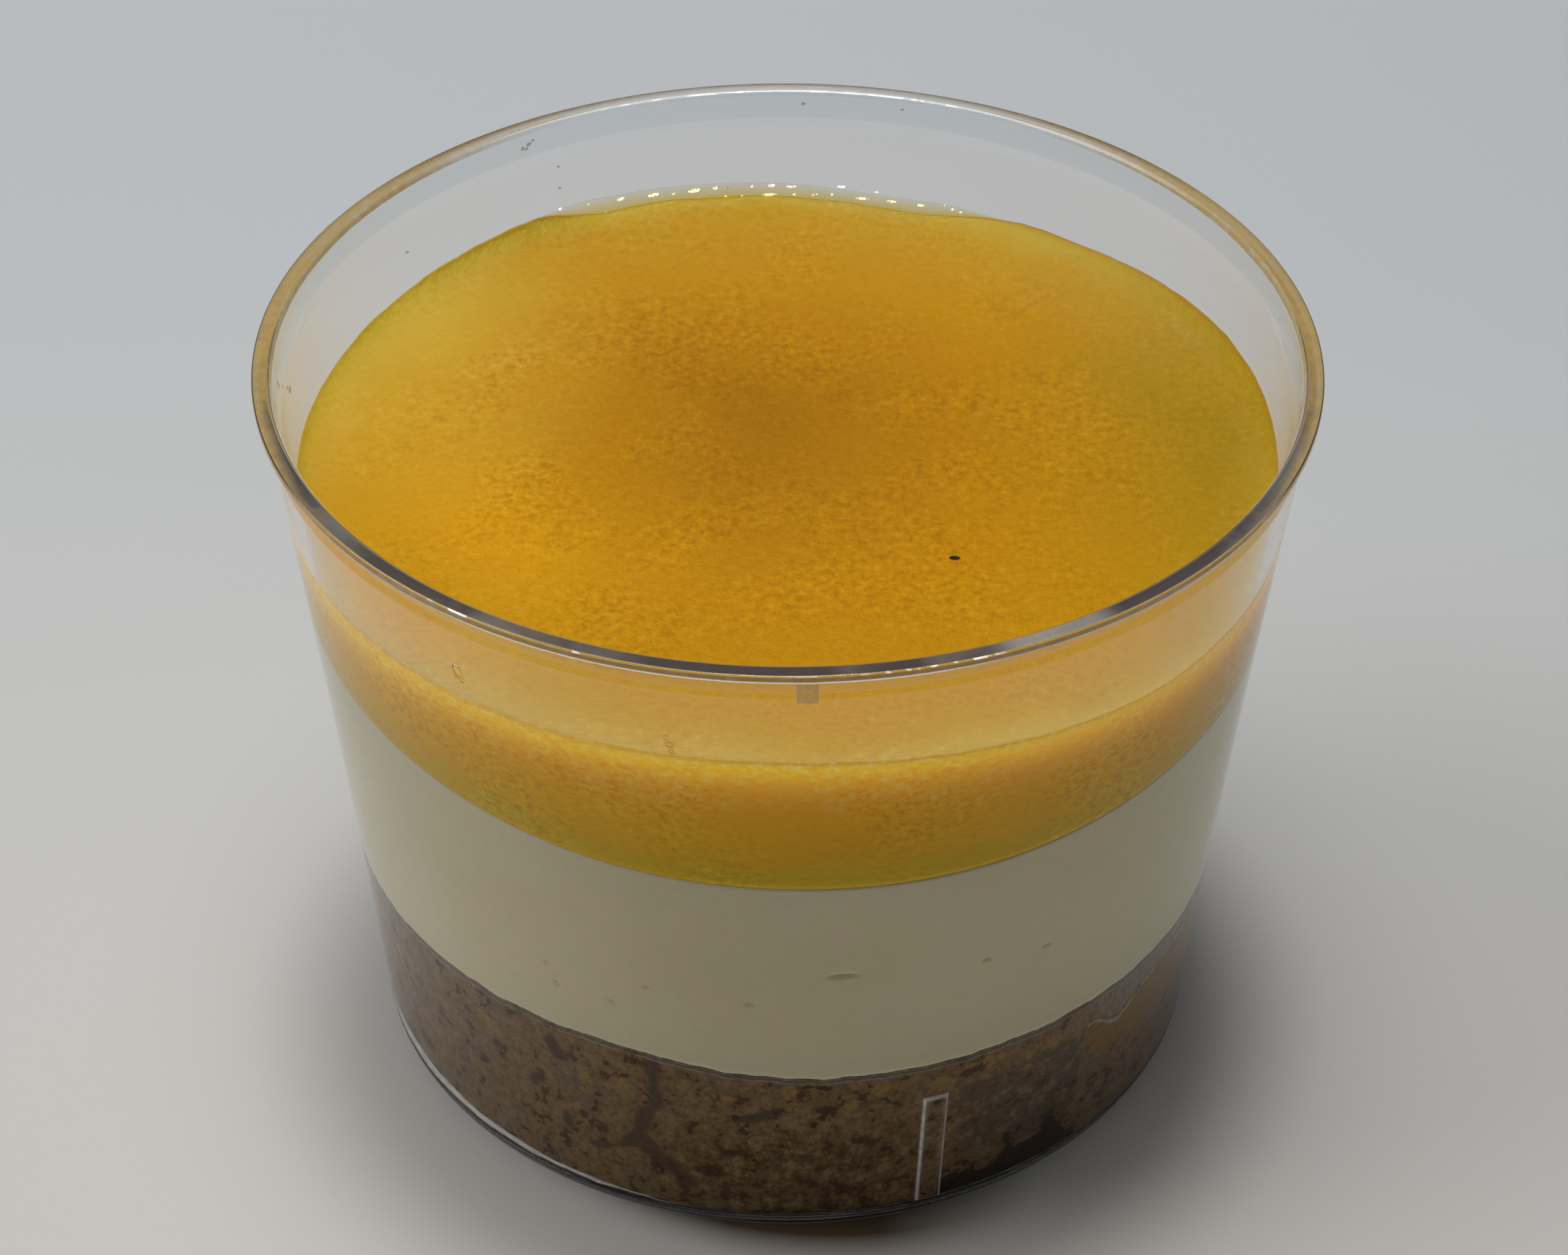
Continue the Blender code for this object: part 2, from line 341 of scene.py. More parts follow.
# Lets lamps and diffuse light straight through a clear piece, so that what is behind it is lit. Light that
# has turned inside it more than four times goes straight on too.
def letLightThrough(mat, shader, tint):
    path = addNode(mat, "LightPath")
    either = mathNode(mat, "MAXIMUM", path.outputs["Is Shadow Ray"], path.outputs["Is Diffuse Ray"])
    either = mathNode(mat, "MAXIMUM", either, mathNode(mat, "GREATER_THAN", path.outputs["Ray Depth"], 4.5))
    clear = addNode(mat, "BsdfTransparent")
    clear.inputs["Color"].default_value = (*tint, 1)
    mix = addNode(mat, "MixShader")
    join(mat, either, mix.inputs[0])
    join(mat, shader.outputs["BSDF"], mix.inputs[1])
    join(mat, clear.outputs["BSDF"], mix.inputs[2])
    join(mat, mix.outputs["Shader"], mat.node_tree.nodes["Material Output"].inputs["Surface"])


# Gives a piece its material and its body, and hides the CAD nodes that it stands for
def dress(obj, mat, slot, *replaced):
    obj.data.materials.append(mat)
    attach(obj, "root")
    if replaced:
        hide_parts(*replaced)
    return obj


# What can be changed on the tumbler
tumbler = {
    "columns": 288,
    "stepHalf": 0.0007,          # half the height over which the inner step runs
    "stepEnd": 0.0009,           # the plain wall goes on at this distance from it
    "round": 0.0001,             # rounding under the lip and of the stub
    "footRound": 0.0003,
    "padAngle": 19.5,            # upright mould pad, degrees right of the front
    "padLow": 0.00215,
    "padHigh": 0.01305,
    "padMiddle": 0.0085,         # height at which its width is measured
    "padWidth": 0.0019,
    "padProud": 0.00020,
    "padBevel": 0.00022,
    "stubAngle": 2.0,            # gate stub on the lip
    "stubLow": 0.0532,
    "stubWidth": 0.0016,
    # Finer columns at the sides of pad and stub: degrees outside and inside of each side, spacing
    "padFiner": (0.2, 0.45, 0.09),
    "stubFiner": (0.1, 0.2, 0.05),
    "passing": (0.93, 0.935, 0.93),     # light left after one face
    "roughness": (0.012, 0.05),
    "rippleSize": 0.009,
    "rippleDepth": 0.00004,
    "hazeSize": 0.012,
    "grainSize": 0.0008,
    "lipTone": (0.085, 0.074, 0.082),   # painted dark reflection on the lip's flat top in front, carried by a frosted tone
    "lipFrost": 0.72,
    "lipGold": (0.60, 0.42, 0.15),      # painted refraction of the jelly, a warm tone on the lip at the sides
    "goldFrost": 0.55,
    "edgeTone": (0.11, 0.07, 0.04),     # painted dark lines along its edges, where the clear lip bends light away
    "edgeFrost": 0.75,
    "overStepTone": (0.80, 0.88, 0.92),  # painted cool shade on the wall over the step, where it is thinner
    # The stub carries the painted refraction of the jelly too
    "stubGold": 0.6,
    # Where the lip has which of them: field, rows, strength, degrees from the front over which it comes in,
    # degrees over which it fades again, and how much of it fades
    "lipTones": (("paintedDarkTop", "flatTop", 1.0, (-2, -1), (96, 128), 0.9),
                 ("gold", "lip", 1.0, (54, 72), (140, 170), 0.8),
                 ("gold", "mouth", 1.0, (66, 90), (125, 155), 1.0),
                 ("gold", "lipFace", 0.9, (-2, -1), (181, 182), 0.0),
                 ("edge", "outerEdge", 1.0, (52, 68), (112, 135), 0.45),
                 ("edge", "innerEdge", 0.8, (55, 70), (92, 100), 1.0),
                 ("edge", "lipFace", 0.5, (-2, -1), (50, 62), 1.0),
                 ("edge", "flatEdge", 0.6, (118, 140), (181, 182), 0.0),
                 ("cool", "overStep", 1.0, (-2, -1), (181, 182), 0.0)),
    # Painted highlights along the lip, broken: rows, angles, strength
    "glints": (("outerEdge", 6.5, 23, 1.0), ("outerEdge", 321.5, 329, 0.9), ("outerEdge", 336, 343, 0.6),
               ("innerEdge", 152, 207, 0.8)),
    # Painted highlights along the lip, unbroken
    "gleams": (("lowerEdge", -24, 24, 0.8), ("lowerEdge", 316, 384, 0.8), ("flatTop", 20, 36, 0.22),
               ("innerEdge", 120, 232, 0.35)),
    "lineEnds": 0.25,            # share of a line over which each end fades
    "glintLength": 0.0011,
    "glintTone": (1, 0.90, 0.74),
    "glintGlow": 0.6,
    "gleamGlow": 0.3,
    "wallShine": 0.35,           # strength of the wall's mirror image against the lip's
    "lowShine": 0.08,            # and beside the food
    "shineRise": (0.040, 0.0485),       # heights between which it grows outside
    "innerShineFrom": 0.044,     # and height from which the inside has all of it
    # Painted highlight along the left of the foot, where the left light catches its corner: degrees, lower
    # and upper edge in mm
    "glareStretch": ((-82.0, 2.3, 2.3), (-70.0, 2.3, 3.5), (-58.0, 2.3, 3.4), (-45.0, 2.3, 3.0),
                (-32.0, 2.25, 2.7), (-20.0, 2.2, 2.45), (-10.0, 2.2, 2.2)),
    "glareRadius": 0.0305,
    "glareRagged": 0.10,         # mm by which its edges wander
    "glareGrain": 0.0011,
    "glareTone": (0.95, 0.93, 0.88),
    # how solid the white of the painted highlights is
    "paintedGlare": 0.85,
}


# Section of the tumbler from the axis at its inner floor, up the inside, over the lip, down the outside and
# back to the axis underneath, as columns r and z, with the rows of the lip and of the outside
def tumblerSection():
    c, t = cup, tumbler
    top, low = c["height"], c["height"] - c["lipBand"]
    stepZ, stepHalf = top - c["stepBelowRim"], t["stepHalf"]
    innerZ = c["floorTop"] + c["cornerInner"]
    innerR = wallInside(innerZ) - c["cornerInner"]
    outerR = wallOutside(c["cornerOuter"]) - c["cornerOuter"]
    ringR = outerR - c["footWidth"]
    floor = np.stack([np.linspace(0, innerR, 14), np.full(14, c["floorTop"])], 1)[:-1]
    fillet = arc(innerR, innerZ, c["cornerInner"], -90, 0, 12)
    z = np.linspace(innerZ, stepZ - t["stepEnd"], 26)[1:]
    z = np.concatenate([z, stepZ + np.linspace(-stepHalf, stepHalf, 11)])
    thinning = c["stepDepth"] * ease(z, stepZ - stepHalf, stepZ + stepHalf)
    inside = np.stack([wallOutside(z) - c["wall"] + thinning, z], 1)
    z = stepZ + np.linspace(t["stepEnd"], top - c["lipInner"] - 4e-5 - stepZ, 10)
    inside = np.concatenate([inside, np.stack([wallInside(z), z], 1)])
    upper = arc(wallInside(top) + c["lipInner"], top - c["lipInner"], c["lipInner"], 180, 90, 9)
    outer = arc(c["rimRadius"] - c["lipOuter"], top - c["lipOuter"], c["lipOuter"], 90, 0, 6)
    faceLow = np.array([[c["rimRadius"], low + 0.00018]])
    curve = t["round"]
    under = arc(c["rimRadius"] - curve, low + curve, curve, 0, -90, 5)
    root = arc(wallOutside(low) + curve, low - curve, curve, 90, 180, 4)
    # Rows lie closer at the ends of the pad, on the painted highlight along the foot and at the stub's lower
    # end
    near, far, spacing = 2e-4, 4e-4, 6e-5
    finer = ((t["padHigh"] - far, t["padHigh"] + near, spacing),
             (t["padLow"] - near, t["padLow"] + far, spacing), (0.0026, 0.0038, 1e-4),
             (t["stubLow"] - near, t["stubLow"] + near, spacing))
    z = spaced(c["cornerOuter"], low - 2 * curve, 44, finer)[::-1]
    side = np.stack([wallOutside(z), z], 1)
    corner = arc(outerR, c["cornerOuter"], c["cornerOuter"], 0, -90, 16)[1:]
    curve = t["footRound"]
    foot = arc(ringR + curve, curve, curve, -90, -170, 6)
    recess = arc(ringR - 2 * curve, c["floorUnder"] - curve, curve, 10, 90, 6)
    disc = np.stack([np.linspace(ringR - 2 * curve, 0, 12), np.full(12, c["floorUnder"])], 1)[1:]
    parts = [floor, fillet, inside, upper, outer, faceLow, under, root, side, corner, foot, recess, disc]
    start = np.cumsum([0] + [len(p) for p in parts])
    rows = {"overStep": slice(start[3] - 13, start[4] - 4), "mouth": slice(start[3], start[4]),
            "innerEdge": slice(start[3] + 5, start[4] - 2), "flatTop": slice(start[4] - 1, start[4] + 1),
            "flatEdge": slice(start[4], start[4] + 1), "outerEdge": slice(start[4] + 1, start[4] + 5),
            "lip": slice(start[3], start[7]), "lipFace": slice(start[5] - 1, start[5] + 1),
            "lowerEdge": slice(start[6], start[6] + 3), "face": slice(start[6], start[9]),
            "side": slice(start[8], start[9])}
    return np.concatenate(parts), rows


# Fields of the tumbler: painted reflections, shade and highlights of the lip, shine of the wall and the
# painted highlight along the foot and the pad, each a product of eased steps round the tumbler or up it
def tumblerMarks(turn, z, rows, inStub, fromPadEdge):
    t = tumbler
    side, face = rows["side"], rows["face"]
    names = ("paintedDarkTop", "gold", "edge", "glint", "gleam", "cool", "shine", "paintedGlare")
    marks = {name: np.zeros((len(z), len(turn))) for name in names}
    away = np.abs(turn)
    for name, row, strength, comes, fades, lost in t["lipTones"]:
        marks[name][rows[row]] = strength * ease(away, *comes) * (1 - lost * ease(away, *fades))
    marks["gold"][face] = np.maximum(marks["gold"][face], t["stubGold"] * inStub)
    for name, places in (("glint", t["glints"]), ("gleam", t["gleams"])):
        for row, low, high, strength in places:
            reach = np.minimum(turn % 360 - low, high - turn % 360)
            marks[name][rows[row]] += strength * ease(reach, 0, t["lineEnds"] * (high - low))
    marks["shine"][:] = 1
    marks["shine"][side] = t["lowShine"] + (t["wallShine"] - t["lowShine"]) * ease(z[side], *t["shineRise"])
    inner = slice(0, side.start // 2)
    marks["shine"][inner] = np.where(z[inner] < t["innerShineFrom"], t["lowShine"], 1)
    # Painted highlight along the left of the foot
    place, lowEdge, highEdge = np.array(t["glareStretch"]).T
    spot = roundPoints(t["glareRadius"], z[side], turn)
    up = z[side] * 1000 + t["glareRagged"] * roughNoise(spot, t["glareGrain"], 3, 3)
    inBand = np.minimum(up - np.interp(turn, place, lowEdge), np.interp(turn, place, highEdge) - up)
    # The pad's bevel carries a painted highlight too
    onBevel = bump(fromPadEdge, 0.5 * t["padBevel"], 0.75 * t["padBevel"])
    marks["paintedGlare"][side] = np.maximum(ease(inBand, 0, 0.12), onBevel)
    return marks


# The section turned round, with the mould pad and the gate stub pushed out of the outside wall:
# pad = proud * eased distance from its edges, stub = out to the lip's face inside its own outline
def makeTumbler():
    t = tumbler
    section, rows = tumblerSection()
    side, face = rows["side"], rows["face"]
    padHalf = math.degrees(t["padWidth"] / 2 / wallOutside(t["padMiddle"]))
    stubHalf = math.degrees(t["stubWidth"] / 2 / cup["rimRadius"])
    finer = []
    for middle, half, (before, after, spacing) in ((t["padAngle"], padHalf, t["padFiner"]),
                                                   (t["stubAngle"], stubHalf, t["stubFiner"])):
        finer.append((middle - half - before, middle - half + after, spacing))
        finer.append((middle + half - after, middle + half + before, spacing))
    turn = spaced(-180, 180, t["columns"] + 1, finer)[:-1]
    radius = np.repeat(section[:, :1], len(turn), 1)
    z = section[:, 1:]
    along = np.radians(turn - t["padAngle"]) * section[side, :1]
    fromPadEdge = np.minimum(t["padWidth"] / 2 - np.abs(along),
                             np.minimum(z[side] - t["padLow"], t["padHigh"] - z[side]))
    radius[side] += t["padProud"] * ease(fromPadEdge, 0, t["padBevel"])
    beside = t["stubWidth"] / 2 - np.abs(np.radians(turn - t["stubAngle"]) * cup["rimRadius"])
    inStub = ease(beside, 0, t["round"]) * ease(z[face], t["stubLow"], t["stubLow"] + t["round"])
    radius[face] += (cup["rimRadius"] - section[face, :1]) * inStub
    marks = tumblerMarks(turn, z, rows, inStub, fromPadEdge)
    return closedGrid("tumbler", roundPoints(radius, z, turn), marks)


# Clear plastic, frosted along the lip to carry its painted reflections and shade, with painted highlights on
# it
def clearPlastic():
    t = tumbler
    mat, shader = newMaterial("clear_plastic", (1, 1, 1), Roughness=0.02, IOR=1.59, Transmission_Weight=1.0)
    where = objectPlace(mat)
    # Faint flow ripple of the moulding, and hazier patches where it was handled
    ripple = noiseNode(mat, where, t["rippleSize"], 2.0, 0.5, (1, 1, 0.35))
    bumpNode(mat, ripple, shader, t["rippleDepth"], 0.5)
    haze = noiseNode(mat, where, t["hazeSize"], 4.0, 0.6)
    join(mat, remapNode(mat, haze, 0.45, 0.8, *t["roughness"]), shader.inputs["Roughness"])
    # Painted reflections and shade of the lip, each broken a little by noise
    small = noiseNode(mat, where, t["grainSize"])
    # The lip's flat top in front: painted dark reflection
    paintedDarkTop = timesNode(mat, field(mat, "paintedDarkTop"), remapNode(mat, haze, 0.3, 0.7, 0.8, 1.2))
    # Painted refraction of the jelly through the lip and the stub
    gold = timesNode(mat, field(mat, "gold"), remapNode(mat, small, 0.3, 0.6, 0.75, 1.1))
    # Painted shade: dark lines along the lip's edges
    edge = field(mat, "edge")
    # Painted cool shade over the inner step
    tone = mixNode(mat, field(mat, "cool"), (1, 1, 1), t["overStepTone"])
    for much, lipTone in ((paintedDarkTop, t["lipTone"]), (gold, t["lipGold"]), (edge, t["edgeTone"])):
        tone = mixNode(mat, much, tone, lipTone)
    # Painted highlights: along the foot and the pad, broken glints and unbroken pale lines
    paintedGlare = timesNode(mat, field(mat, "paintedGlare"), remapNode(mat, small, 0.3, 0.6, 0.6, 1.0))
    # Painted glints: white and glowing where a noise is high
    dash = remapNode(mat, noiseNode(mat, where, t["glintLength"], 2.0), 0.50, 0.56)
    dash = timesNode(mat, dash, field(mat, "glint"))
    gleam = field(mat, "gleam")
    white = mathNode(mat, "MAXIMUM", paintedGlare, mathNode(mat, "MAXIMUM", dash, gleam))
    join(mat, mixNode(mat, white, tone, t["glareTone"]), shader.inputs["Base Color"])
    solid = timesNode(mat, white, t["paintedGlare"])
    for much, share in ((paintedDarkTop, t["lipFrost"]), (gold, t["goldFrost"]), (edge, t["edgeFrost"])):
        solid = mathNode(mat, "MAXIMUM", solid, timesNode(mat, much, share))
    join(mat, slideNode(mat, solid, 1.0, 0.0), shader.inputs["Transmission Weight"])
    shader.inputs["Emission Color"].default_value = (*t["glintTone"], 1)
    glow = mathNode(mat, "ADD", timesNode(mat, dash, t["glintGlow"]), timesNode(mat, gleam, t["gleamGlow"]))
    join(mat, glow, shader.inputs["Emission Strength"])
    join(mat, mixNode(mat, field(mat, "shine"), (0, 0, 0), (1, 1, 1)), shader.inputs["Specular Tint"])
    letLightThrough(mat, shader, t["passing"])
    return mat


cupPiece = dress(makeTumbler(), clearPlastic(), "clear_plastic", "cup")
print("tumbler made:", len(cupPiece.data.polygons), "faces")


# What can be changed on the crumb base
crumb = {
    "columns": 600,
    "sideRows": 110,
    "seed": 11,
    "ragged": 0.00011,           # unevenness of the line where the cream ends on it
    "radius": 0.0309,            # middle radius of its side, for distances along it
    "topRadius": 0.030,
    "topRough": 0.0002,          # relief of its top under the cream
    "wander": 0.35,              # mm by which the outlines of its marks wander
    "wanderSize": 0.0016,
    # Crevices: half-width in mm, then points in degrees and mm of height
    "crevices": (
        (0.55, (-17.0, 17.2), (-17.2, 14.6), (-16.6, 12.6), (-18.6, 10.6), (-20.0, 9.2), (-19.2, 7.8)),
        (0.75, (-19.2, 7.8), (-17.2, 6.8), (-15.2, 5.6), (-13.6, 4.2)),
        (0.35, (-19.4, 7.6), (-23.0, 6.7), (-27.0, 6.0)),
        (0.45, (-30.4, 8.0), (-30.2, 6.6)),
        (0.22, (-33.5, 11.6), (-35.5, 10.4)),
        (0.35, (-31.5, 15.4), (-30.2, 14.2)),
        (0.28, (-6.5, 11.6), (-2.5, 12.2), (-0.8, 12.9)),
    ),
    "creviceDepth": 0.00004,
    # Upper edge of the hollow low on the right, in degrees and mm
    "hollowEdge": ((21.2, 1.0), (21.6, 3.7), (28.0, 3.6), (31.0, 4.5), (34.0, 5.9), (38.0, 5.6), (40.5, 5.0),
                   (42.0, 3.6), (45.0, 1.8)),
    "hollowDepth": 0.00005,
    # Upper edge of the gap along the bottom corner, in degrees and mm
    "cornerGap": ((-95.0, 1.0), (-80.0, 3.1), (-60.0, 3.0), (-45.0, 2.6), (-30.0, 2.15), (-20.0, 1.9),
                  (-8.0, 1.2)),
    "cornerDepth": 0.0003,
    "overlap": 0.0003,           # how far its edge reaches up behind the cream's
    # Upper and lower edge of the amber band that runs to the right, in degrees and mm
    "amberUpper": ((42.6, 11.0), (43.4, 13.6), (45.5, 13.2), (47.5, 12.4), (50.0, 12.0), (52.5, 12.5),
                   (54.5, 13.5), (58.0, 13.8), (61.0, 14.2), (75.0, 15.0), (110.0, 14.4), (140.0, 11.0)),
    "amberLower": ((42.6, 11.0), (45.5, 10.4), (47.5, 8.6), (52.0, 8.7), (75.0, 8.6), (110.0, 9.6),
                   (140.0, 11.0)),
    # Chips near the top: degrees, mm of height, half-width and half-height in mm
    "chips": ((0.6, 14.9, 0.9, 0.8), (1.2, 13.4, 0.5, 0.4), (8.6, 13.0, 0.6, 0.7), (12.6, 14.5, 1.1, 0.6),
              (20.7, 13.9, 1.0, 0.8), (24.6, 14.9, 0.8, 0.5), (27.6, 14.7, 1.1, 0.8), (33.2, 13.8, 0.5, 0.6),
              (37.4, 13.6, 0.9, 0.6), (-42.8, 14.2, 0.9, 0.7), (-26.8, 13.0, 0.5, 0.7),
              (-21.6, 13.4, 0.4, 0.8), (-8.0, 13.9, 0.9, 0.4), (-27.0, 11.6, 0.6, 0.4),
              (-28.6, 9.4, 0.7, 0.3), (-64.0, 12.6, 0.8, 0.6), (95.0, 13.6, 1.0, 0.6),
              (122.0, 13.0, 0.8, 0.6), (160.0, 14.2, 0.9, 0.5), (-150.0, 14.6, 0.9, 0.6),
              (-118.0, 13.8, 0.8, 0.7), (-90.0, 14.6, 0.9, 0.6)),
    # Tones: two that change in patches and one between them, smooth and loose parts, paler crumbs, painted
    # shade of pits
    "mauve": (0.185, 0.117, 0.0622),
    "tan": (0.22, 0.129, 0.0498),
    "between": (0.198, 0.119, 0.0481),
    "smoothTone": (0.132, 0.083, 0.042),
    "looseTone": (0.145, 0.0833, 0.0299),
    "paleTone": (0.29, 0.191, 0.0913),
    "pitShadeTone": (0.0748, 0.034, 0.0116),
    # Colour masks: field, tone, the values between which it comes in, strength
    "masks": (("amber", (0.250, 0.125, 0.008), 0.25, 0.70, 0.95),
              ("chip", (0.33, 0.190, 0.045), 0.32, 0.62, 0.75),
              ("pale", (0.29, 0.24, 0.17), 0.20, 0.70, 0.6),
              # crack and hollow: painted shade in the crevices, in the hollow and round it
              ("crack", (0.070, 0.040, 0.027), 0.20, 0.85, 0.85),
              ("hollow", (0.022, 0.008, 0.005), 0.3, 0.6, 1.0),
              ("rim", (0.42, 0.36, 0.25), 0.35, 0.75, 0.8)),
    # The banded line along the top
    "topLineDark": (0.075, 0.050, 0.036),
    "topLineGrey": (0.19, 0.14, 0.10),
    "topLinePale": ((0.30, 0.26, 0.23), (0.34, 0.30, 0.25)),
}


# Places of the marks on the crumb's side. The first field is how far it stands back from the wall, in the
# crevices, the hollow and the corner gap, each 1 - eased distance; the others are colour masks, those of the
# crevices, the hollow and round it painted shade
def crumbMarks(turn, z):
    c = crumb
    spot = roundPoints(c["radius"], z, turn)
    inMm = math.radians(1) * c["radius"] * 1000
    x, up = np.radians(turn) * c["radius"] * 1000, z * 1000
    wander = c["wander"] * roughNoise(spot, c["wanderSize"], 3, c["seed"])
    cracks = 0
    # Painted shade in the crevices
    for half, *points in c["crevices"]:
        gap = lineDistance(x, up, [(a * inMm, h) for a, h in points])
        cracks = np.maximum(cracks, 1 - ease(gap + 1.3 * wander, half * 0.35, half * 1.5))
    # Painted shade in the hollow
    edge = np.interp(turn, *zip(*c["hollowEdge"]))
    inside = (turn > c["hollowEdge"][0][0]) & (turn < c["hollowEdge"][-1][0])
    hollow = ease(edge - up + wander * 2.0, -0.35, 0.7) * inside
    lumps = hollow * ease(latticeNoise(spot, c["wanderSize"], c["seed"] + 1), 0.1, 0.5) * ease(up, 3.0, 4.2)
    # Painted shade that deepens towards the hollow
    shadeByHollow = 0.40 * ease(edge + 3.2 - up + 1.5 * wander, 0, 3.2) * ease(turn, 17, 24) * ease(turn, 50, 44)
    cornerEdge = np.interp(turn, *zip(*c["cornerGap"]))
    corner = ease(cornerEdge - up + 0.35 * wander, -0.05, 0.15) * (turn > -95) * (turn < -8)
    # Loose grains in the middle of the front and in patches elsewhere, a smooth face over the hollow
    grainy = bump(turn, 3, 21) ** 0.35 * ease(up + 3 * wander, 11.5, 8.0)
    grainy = np.maximum(grainy, 0.5 * ease(latticeNoise(spot, 0.009, c["seed"] + 2), 0.35, 0.7))
    level = up + 2 * wander
    smooth = ease(turn, 21.5, 24) * ease(turn, 43.5, 42.5) * ease(level, 4.2, 6.5) * ease(level, 13.6, 12.6)
    # The amber band, a pale line along its upper edge and paler crumb over it
    upper = np.interp(turn, *zip(*c["amberUpper"]))
    lower = np.interp(turn, *zip(*c["amberLower"]))
    band = np.minimum(upper - up, up - lower) + 0.8 * wander
    amber = ease(band, 0, 0.35)
    pale = ease(up - upper - 0.5 * wander, 0.1, 0.6) * ease(turn, 43, 47) * ease(turn, 85, 62)
    rim = bump(upper - up + 0.8 * wander - 0.12, 0, 0.30) * (band > -0.5)
    rim = rim * ease(turn, 43, 44) * ease(turn, 80, 62)
    chips = 0
    for angle, height, wide, tall in c["chips"]:
        chips = np.maximum(chips, 1 - np.hypot((x - angle * inMm) / wide, (up - height) / tall) / 1.5)
    back = np.maximum(c["creviceDepth"] * ease(cracks, 0.4, 0.9), c["hollowDepth"] * (hollow - 0.7 * lumps))
    back = np.maximum(back, c["cornerDepth"] * corner)
    return {"recess": back * 1000, "crack": cracks, "hollow": np.maximum(hollow - lumps, shadeByHollow),
            "grain": grainy, "smooth": smooth, "amber": amber, "rim": rim, "pale": pale,
            "chip": np.clip(chips, 0, 1) * (1 - hollow)}


# The line at which the cream ends on the crumb: the crumb's top, made uneven by noise
def creamLow(turn):
    edge = roundPoints(crumb["radius"], 0.0, turn)
    return crumbTop(edge[..., 0]) + crumb["ragged"] * roughNoise(edge, 0.0014, 4, crumb["seed"] + 9)


# Top, side against the wall, rounded bottom corner and underside, from axis to axis. The side's rows run
# from the uneven top down to the corner in equal shares.
def makeCrumb():
    c = crumb
    turn = np.linspace(-180, 180, c["columns"] + 1)[:-1]
    low = cup["floorTop"] - cup["bite"]
    cornerZ = low + cup["cornerInner"]
    cornerR = wallInside(cornerZ) - cup["cornerInner"]
    top = crumbTop(roundPoints(c["radius"], 0.0, turn)[..., 0])[None] + c["overlap"]
    share = np.linspace(0, 1, c["sideRows"])[:, None]
    sideZ = top + (cornerZ - top) * share
    topR = np.linspace(0, c["topRadius"], 12)[:, None] + 0 * turn
    corner = arc(cornerR, cornerZ, cup["cornerInner"], 0, -90, 20)[1:, :, None] + 0 * turn
    under = np.linspace(cornerR, 0, 16)[1:, None] + 0 * turn
    r = np.concatenate([topR, wallInside(sideZ) + cup["bite"], corner[:, 0] + cup["bite"], under])
    z = np.concatenate([crumbTop(topR * np.sin(np.radians(turn))), sideZ, corner[:, 1], under * 0 + low])
    z[:12] += c["overlap"] * ease(r[:12], 0.027, c["topRadius"])
    marks = crumbMarks(turn, z)
    onSide = ease(r, 0.0262, 0.0285)
    z[1:12] += c["topRough"] * roughNoise(roundPoints(r, z, turn)[1:12], 0.0045, 3, c["seed"] + 8)
    marks["below"] = (creamLow(turn) - z) * 1000
    points = roundPoints(r - marks["recess"] * onSide / 1000, z, turn)
    return closedGrid("crumbBase", points, marks)


